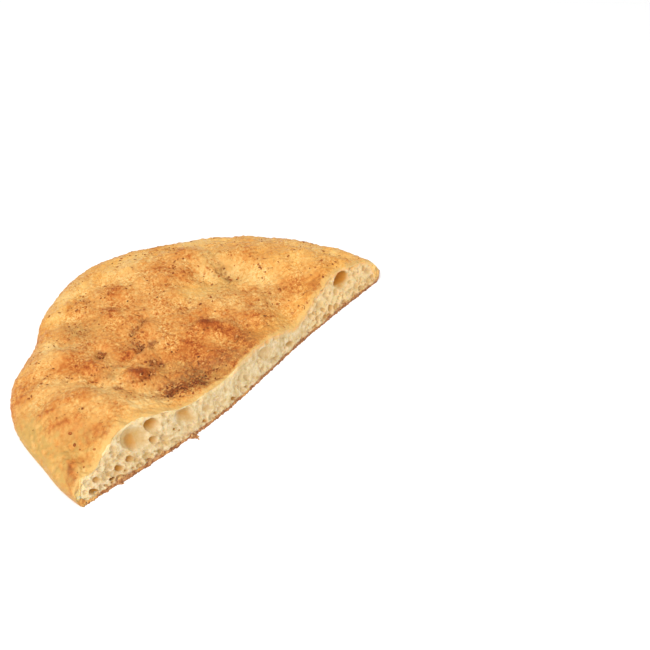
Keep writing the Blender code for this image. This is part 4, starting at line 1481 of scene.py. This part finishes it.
def leaf_points(draw, places, length, width, thickness, curl):
    """Lens-shaped scraps, one for each place, laid on the crust and turned at random.

    Along a scrap the half width follows a power of sin(pi t) with random notches. Its section is
    a flat ellipse, its ends and its sides are bent up, and it is twisted.
    """
    count = len(places)
    t = (np.arange(1, LEAF_ROWS + 1) / (LEAF_ROWS + 1))[None, :, None]
    side = 2.0 * math.pi * np.arange(LEAF_SIDES)[None, None, :] / LEAF_SIDES
    notch = 1.0 + draw.uniform(-LEAF_NOTCH, LEAF_NOTCH, (count, LEAF_ROWS, LEAF_SIDES))
    half = 0.5 * width[:, None, None] * np.sin(math.pi * t) ** LEAF_POINTEDNESS * notch
    x = length[:, None, None] * (t - 0.5) + 0.0 * half
    y = half * np.cos(side)
    thinning = 1.0 - LEAF_ENDS_THINNER + LEAF_ENDS_THINNER * np.sin(math.pi * t)
    z = 0.5 * thickness[:, None, None] * np.sin(side) * thinning
    bend = curl[:, None, None] * draw.uniform(*LEAF_BEND_VARIES, (count, 1, 1))
    z = z + bend * length[:, None, None] * (2.0 * t - 1.0) ** 2 * LEAF_BEND
    z = z + curl[:, None, None] * LEAF_CUP * np.abs(y) * draw.uniform(*LEAF_CUP_VARIES, (count, 1, 1))
    twist = draw.uniform(-LEAF_TWIST, LEAF_TWIST, (count, 1, 1)) * (t - 0.5)
    y, z = y * np.cos(twist) - z * np.sin(twist), y * np.sin(twist) + z * np.cos(twist)
    body = np.stack([x, y, z], -1).reshape(count, -1, 3)
    ends = np.zeros((count, 2, 3))
    ends[:, 0, 0] = -0.5 * length
    ends[:, 1, 0] = 0.5 * length
    ends[..., 2] = bend[:, 0] * length[:, None] * LEAF_BEND
    local = np.concatenate([body, ends], axis=1)

    seat, normal = crust_surface(places[:, 0], places[:, 1])
    lean = normal + LEAF_LEAN * draw.normal(size=(count, 3)) * curl[:, None]
    lean /= np.linalg.norm(lean, axis=1)[:, None]
    heading = draw.uniform(0.0, 2.0 * math.pi, count)
    forward = np.stack([np.cos(heading), np.sin(heading), np.zeros(count)], -1)
    forward -= lean * np.sum(forward * lean, axis=1)[:, None]
    forward /= np.linalg.norm(forward, axis=1)[:, None]
    sideways = np.cross(lean, forward)
    lift = LEAF_SEAT * thickness + draw.uniform(*LEAF_LIFT, count) * curl
    seat = seat + normal * lift[:, None]
    axes = np.stack([forward, sideways, lean], axis=1)
    return seat[:, None, :] + np.einsum("nij,njk->nik", local, axes)


def make_scraps(name, points, rows, sides, label, values):
    """Many like scraps as one mesh: the faces of one, repeated, and a value of its own for each."""
    quads, triangles = ring_faces(rows, sides)
    size = rows * sides + 2
    step = (np.arange(len(points)) * size)[:, None, None]
    faces = ((quads[None] + step).reshape(-1, 4), (triangles[None] + step).reshape(-1, 3))
    return make_mesh(name, points, faces, {label: np.repeat(values, size)})


# Tones of the leaves, by how toasted they are
LEAF_TONES = (
    (0.00, (208, 150, 88)),
    (0.25, (182, 112, 52)),
    (0.50, (154, 84, 36)),
    (0.75, (122, 62, 28)),
    (1.00, (88, 42, 24)),
)


def leaf_finish():
    """Dried leaf: golden brown to dark brown by how toasted each scrap is, finely mottled."""
    made, tree, shader = finish("oregano_leaf", roughness=0.8, shine=0.2, depth=0.0004, weight=0.1)
    shade = plus(tree, value_of(tree, "toasted"), mottle(tree, 0.5, 2.0, (0.2, 0.8), (-0.12, 0.12)))
    colour = ramp(tree, shade, LEAF_TONES)
    cover(tree, shader, colour, noise(tree, 0.25), strength=0.4, depth=0.0001)
    return made


draw = np.random.default_rng(LEAF_SEED)
places = leaf_places(draw)
count = len(places)
length = from_range(LEAF_LENGTH, draw.random(count) ** LONG_LEAVES_RARE)
width = length * draw.uniform(*LEAF_SLENDERNESS, count)
thickness = LEAF_THICKNESS * draw.uniform(*LEAF_THICKNESS_VARIES, count)
leaves = leaf_points(draw, places, length, width, thickness, draw.uniform(*LEAF_CURL, count))
in_hollow = bell(distance_to_run(places[:, 0], places[:, 1], *HOLLOW_STREAK), HOLLOW_STREAK_WIDTH)
toasted = np.clip(draw.normal(*LEAF_TOASTED, count) + TOASTED_IN_HOLLOW * in_hollow, 0.0, 1.0)
oregano = make_scraps("oregano", leaves, LEAF_ROWS, LEAF_SIDES, "toasted", toasted)
oregano.data.materials.append(leaf_finish())
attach(oregano, "root")
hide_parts("focaccia")


# Oregano stalks: thin, stiff, curved bits of dried stem, brown, strewn together with the leaves.
# They lie on the crust, most of them where the leaves have gathered.

# Stalks that stand out: plan place, direction in degrees, length, bend
STALKS = (
    (60.9, 6.4, 60.0, 4.4, 0.9),
    (71.0, 49.0, 20.0, 2.6, 0.5),
    (-65.5, 33.0, 150.0, 3.2, -0.7),
    (-50.5, 62.5, 100.0, 3.0, 0.6),
    (-46.0, 14.0, 40.0, 3.6, -0.5),
    (-38.0, 11.0, 120.0, 3.4, 0.7),
    (-30.0, 9.0, 10.0, 3.0, 0.4),
    (-32.0, 51.0, 80.0, 3.4, 0.6),
    (-28.0, 47.2, 165.0, 3.6, 0.4),
    (-36.0, 34.0, 145.0, 3.4, -0.5),
    (8.5, 14.0, 95.0, 2.4, 0.5),
)
STREWN_STALKS = 40
BESIDE_LEAVES = 1.0
STALK_SEED = 29
STALK_LENGTH = (1.6, 3.4)
STALK_RADIUS = (0.09, 0.20)
STALK_MIDDLE = 0.85
STALK_TAPER = 0.5
STALK_SEAT = 0.8
STALK_BEND = 0.9
STALK_TOASTED = (0.62, 0.2)
STALK_ROWS = 7
STALK_SIDES = 5


def stalk_points(draw, stalks):
    """Bent rods: each follows a parabola on the crust and thins out towards its end."""
    place_u, place_v, heading, length, bend = (column[:, None] for column in np.asarray(stalks).T)
    heading = np.radians(heading)
    t = np.linspace(-0.5, 0.5, STALK_ROWS)[None, :]
    aside = bend * (t ** 2 - 1.0 / 12.0)
    u = place_u + length * (t * np.cos(heading) - aside * np.sin(heading))
    v = place_v + length * (t * np.sin(heading) + aside * np.cos(heading))
    radius = draw.uniform(*STALK_RADIUS, len(stalks))[:, None] * (STALK_MIDDLE - STALK_TAPER * t)
    path = np.stack([u, v, finished_top(u, v) + STALK_SEAT * radius], -1)
    turn = (2.0 * math.pi * np.arange(STALK_SIDES) / STALK_SIDES)[None, None, :, None]
    sideways = np.stack([-np.sin(heading), np.cos(heading), 0.0 * heading], -1)[:, :, None, :]
    around = np.cos(turn) * sideways + np.sin(turn) * np.array([0.0, 0.0, 1.0])
    rods = path[:, :, None, :] + radius[:, :, None, None] * around
    return np.concatenate([rods.reshape(len(stalks), -1, 3), path[:, [0, -1]]], axis=1)


draw = np.random.default_rng(STALK_SEED)
beside = places[draw.choice(len(places), STREWN_STALKS, replace=False)]
beside = beside + draw.normal(0.0, BESIDE_LEAVES, beside.shape)
beside = beside[open_crust(beside[:, 0], beside[:, 1])]
heading = draw.uniform(0.0, 180.0, len(beside))
length = draw.uniform(*STALK_LENGTH, len(beside))
bend = draw.uniform(-STALK_BEND, STALK_BEND, len(beside))
stalks = np.concatenate([np.array(STALKS), np.column_stack([beside, heading, length, bend])])
rods = stalk_points(draw, stalks)
toasted = np.clip(draw.normal(*STALK_TOASTED, len(stalks)), 0.0, 1.0)
oregano_stalks = make_scraps("oregano_stalks", rods, STALK_ROWS, STALK_SIDES, "toasted", toasted)
oregano_stalks.data.materials.append(oregano.data.materials[0])
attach(oregano_stalks, "root")
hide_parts("focaccia")


# Torn grains: bits of base crust and crumb that the knife has torn along the foot of the cut.
# They still hang on the edge, crusty brown ones at the bottom and crumb-coloured ones above.

# Tufts where more hang: place along the cut, spread, count, how far out, largest half width
TUFTS = (
    (-52.6, 1.3, 26, 1.6, 0.9),
    (-56.6, 0.8, 8, 0.3, 0.7),
    (-103.0, 0.8, 8, 0.6, 0.6),
    (-120.0, 1.0, 6, 0.3, 0.5),
    (-85.0, 1.2, 6, 0.3, 0.6),
    (-30.0, 1.5, 6, 0.3, 0.5),
)
EDGE_GRAINS = 620
GRAIN_SEED = 37
GRAIN_HALF_WIDTH = (0.18, 0.62)
WIDE_GRAINS_RARE = 2
GRAIN_REACH = (0.6, 1.25)
GRAIN_ENDS = (0.7, 1.2)
GRAIN_STRETCH = (0.6, 1.2)
GRAIN_BROWNED = (0.62, 0.2)
CRUMB_GRAINS_PALER = 0.28
CRUMB_GRAINS_FROM = (0.7, 1.8)
GRAIN_ROWS = 4
GRAIN_SIDES = 6
JUT_HEIGHT = 0.8
LEAST_ABOVE_FLOOR = 0.02

# Where the grains hang: stretch along the cut, how many fewer at its far end, height, how far out
EDGE_STRETCH = (-126.0, 122.0)
EDGE_GRAINS_LIKELY = 0.85
FEWER_FAR_GRAINS = 0.45
FEWER_GRAINS_FROM = (10.0, 70.0)
EDGE_GRAIN_HEIGHT = (0.1, 1.8)
HIGH_GRAINS_RARE = 1.5
EDGE_GRAIN_OUT = (-0.25, 0.25)
TUFT_HEIGHT = (0.1, 1.6)
TUFT_LEAST_OUT = -0.3
TUFT_LEAST_HALF_WIDTH = 0.3


def grain_points(draw, u, height, out, half):
    """Rough lumps: ball rings whose distance from the middle varies at random, turned at random."""
    count = len(u)
    tilt = (math.pi * np.arange(1, GRAIN_ROWS + 1) / (GRAIN_ROWS + 1))[None, :, None]
    side = 2.0 * math.pi * np.arange(GRAIN_SIDES)[None, None, :] / GRAIN_SIDES
    reach = draw.uniform(*GRAIN_REACH, (count, GRAIN_ROWS, GRAIN_SIDES))
    ball = np.stack([
        -np.cos(tilt) * reach,
        np.sin(tilt) * np.cos(side) * reach,
        np.sin(tilt) * np.sin(side) * reach,
    ], -1)
    ends = np.zeros((count, 2, 3))
    ends[:, 0, 0] = -draw.uniform(*GRAIN_ENDS, count)
    ends[:, 1, 0] = draw.uniform(*GRAIN_ENDS, count)
    local = np.concatenate([ball.reshape(count, -1, 3), ends], axis=1)
    local = local * draw.uniform(*GRAIN_STRETCH, (count, 1, 3))
    turn = draw.uniform(0.0, 2.0 * math.pi, count)[:, None]
    x = local[..., 0] * np.cos(turn) - local[..., 2] * np.sin(turn)
    z = local[..., 0] * np.sin(turn) + local[..., 2] * np.cos(turn)
    jut = foot_jut(u) * np.exp(-height / JUT_HEIGHT)
    face_v = cut_line(u) + math.tan(CUT_SLANT) * height - jut - out
    middle = np.stack([u, face_v, np.maximum(height, 0.5 * half)], -1)
    grains = middle[:, None, :] + np.stack([x, local[..., 1], z], -1) * half[:, None, None]
    grains[..., 2] = np.maximum(grains[..., 2], LEAST_ABOVE_FLOOR)
    return grains


# Tones of the grains, by how browned they are
GRAIN_TONES = (
    (0.00, (206, 174, 122)),
    (0.35, (190, 140, 88)),
    (0.65, (152, 98, 58)),
    (1.00, (100, 58, 34)),
)


def grain_finish():
    """Torn crust and crumb: cream to dark brown by how browned each grain is."""
    made, tree, shader = finish("torn_grain", roughness=0.75, shine=0.25, depth=0.0008, weight=0.15)
    shade = plus(tree, value_of(tree, "browned"), mottle(tree, 0.8, 2.0, (0.2, 0.8), (-0.2, 0.2)))
    tree.links.new(ramp(tree, shade, GRAIN_TONES), shader.inputs["Base Color"])
    return made


draw = np.random.default_rng(GRAIN_SEED)
u = draw.uniform(*EDGE_STRETCH, 2 * EDGE_GRAINS)
likely = EDGE_GRAINS_LIKELY - FEWER_FAR_GRAINS * fade(u, *FEWER_GRAINS_FROM)
u = u[draw.random(len(u)) < likely][:EDGE_GRAINS]
height = from_range(EDGE_GRAIN_HEIGHT, draw.random(len(u)) ** HIGH_GRAINS_RARE)
out = draw.uniform(*EDGE_GRAIN_OUT, len(u))
half = from_range(GRAIN_HALF_WIDTH, draw.random(len(u)) ** WIDE_GRAINS_RARE)
for place, width, number, reach, widest in TUFTS:
    in_tuft = draw.normal(place, width, number)
    u = np.append(u, in_tuft)
    height = np.append(height, draw.uniform(*TUFT_HEIGHT, number))
    hanging = draw.uniform(TUFT_LEAST_OUT, reach, number) * bell(in_tuft - place, 2.0 * width)
    out = np.append(out, hanging)
    half = np.append(half, draw.uniform(TUFT_LEAST_HALF_WIDTH, widest, number))
grains = grain_points(draw, u, height, out, half)
browned = draw.normal(*GRAIN_BROWNED, len(u)) - CRUMB_GRAINS_PALER * fade(height, *CRUMB_GRAINS_FROM)
browned = np.clip(browned, 0.0, 1.0)
torn_grains = make_scraps("torn_grains", grains, GRAIN_ROWS, GRAIN_SIDES, "browned", browned)
torn_grains.data.materials.append(grain_finish())
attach(torn_grains, "root")
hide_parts("focaccia")


# Floor: the plain white ground that the bread lies on.
# It is a matt sheet of paper, much larger than the bread, and lit so that it stays white.

FLOOR_WIDTH = 6.0
FLOOR_WHITE = (0.93, 0.93, 0.93, 1.0)
FLOOR_ROUGHNESS = 0.9

bpy.ops.mesh.primitive_plane_add(size=FLOOR_WIDTH, location=(0.0, 0.0, 0.0))
floor = bpy.context.object
floor.name = "floor"
paper = bpy.data.materials.new("white_floor")
paper.use_nodes = True
sheet = paper.node_tree.nodes["Principled BSDF"]
sheet.inputs["Base Color"].default_value = FLOOR_WHITE
sheet.inputs["Roughness"].default_value = FLOOR_ROUGHNESS
floor.data.materials.append(paper)


# Light and camera: a white room with one large soft lamp high on the left.
# The camera stands before the near tip and looks down on the crust and along the cut.

ROOM_WHITE = (1.0, 1.0, 1.0, 1.0)
ROOM_BRIGHTNESS = 0.66
LAMP_WIDTH = 1.3
LAMP_POWER = 48.0
LAMP_PLACE = (-1.28, -0.67, 1.68)
CAMERA_PLACE = (-0.43324606, -0.41839061, 0.48121131)
CAMERA_TURN = math.radians(-55.0)
CAMERA_PITCH = math.radians(38.0)
CAMERA_ROLL = math.radians(4.0)
LENS_LENGTH = 72.0
SENSOR_WIDTH = 36.0

room = bpy.data.worlds.new("white_room")
bpy.context.scene.world = room
room.use_nodes = True
walls = room.node_tree.nodes["Background"]
walls.inputs["Color"].default_value = ROOM_WHITE
walls.inputs["Strength"].default_value = ROOM_BRIGHTNESS

lamp = bpy.data.lights.new("soft_lamp", "AREA")
lamp.shape = "DISK"
lamp.size = LAMP_WIDTH
lamp.energy = LAMP_POWER
lamp_object = bpy.data.objects.new("soft_lamp", lamp)
bpy.context.scene.collection.objects.link(lamp_object)
lamp_object.location = LAMP_PLACE
lamp_object.rotation_euler = (-Vector(lamp_object.location)).to_track_quat("-Z", "Y").to_euler()

camera = bpy.data.cameras.new("camera")
camera.lens = LENS_LENGTH
camera.sensor_width = SENSOR_WIDTH
camera_object = bpy.data.objects.new("camera", camera)
bpy.context.scene.collection.objects.link(camera_object)
camera_object.location = CAMERA_PLACE
backward = Vector((
    math.sin(CAMERA_TURN) * math.cos(CAMERA_PITCH),
    -math.cos(CAMERA_TURN) * math.cos(CAMERA_PITCH),
    math.sin(CAMERA_PITCH),
))
level = backward.to_track_quat("Z", "Y").to_matrix().to_4x4()
level.translation = camera_object.location
camera_object.matrix_world = level
camera_object.rotation_euler.rotate_axis("Z", CAMERA_ROLL)
bpy.context.scene.camera = camera_object
bpy.context.scene.view_settings.view_transform = "Standard"
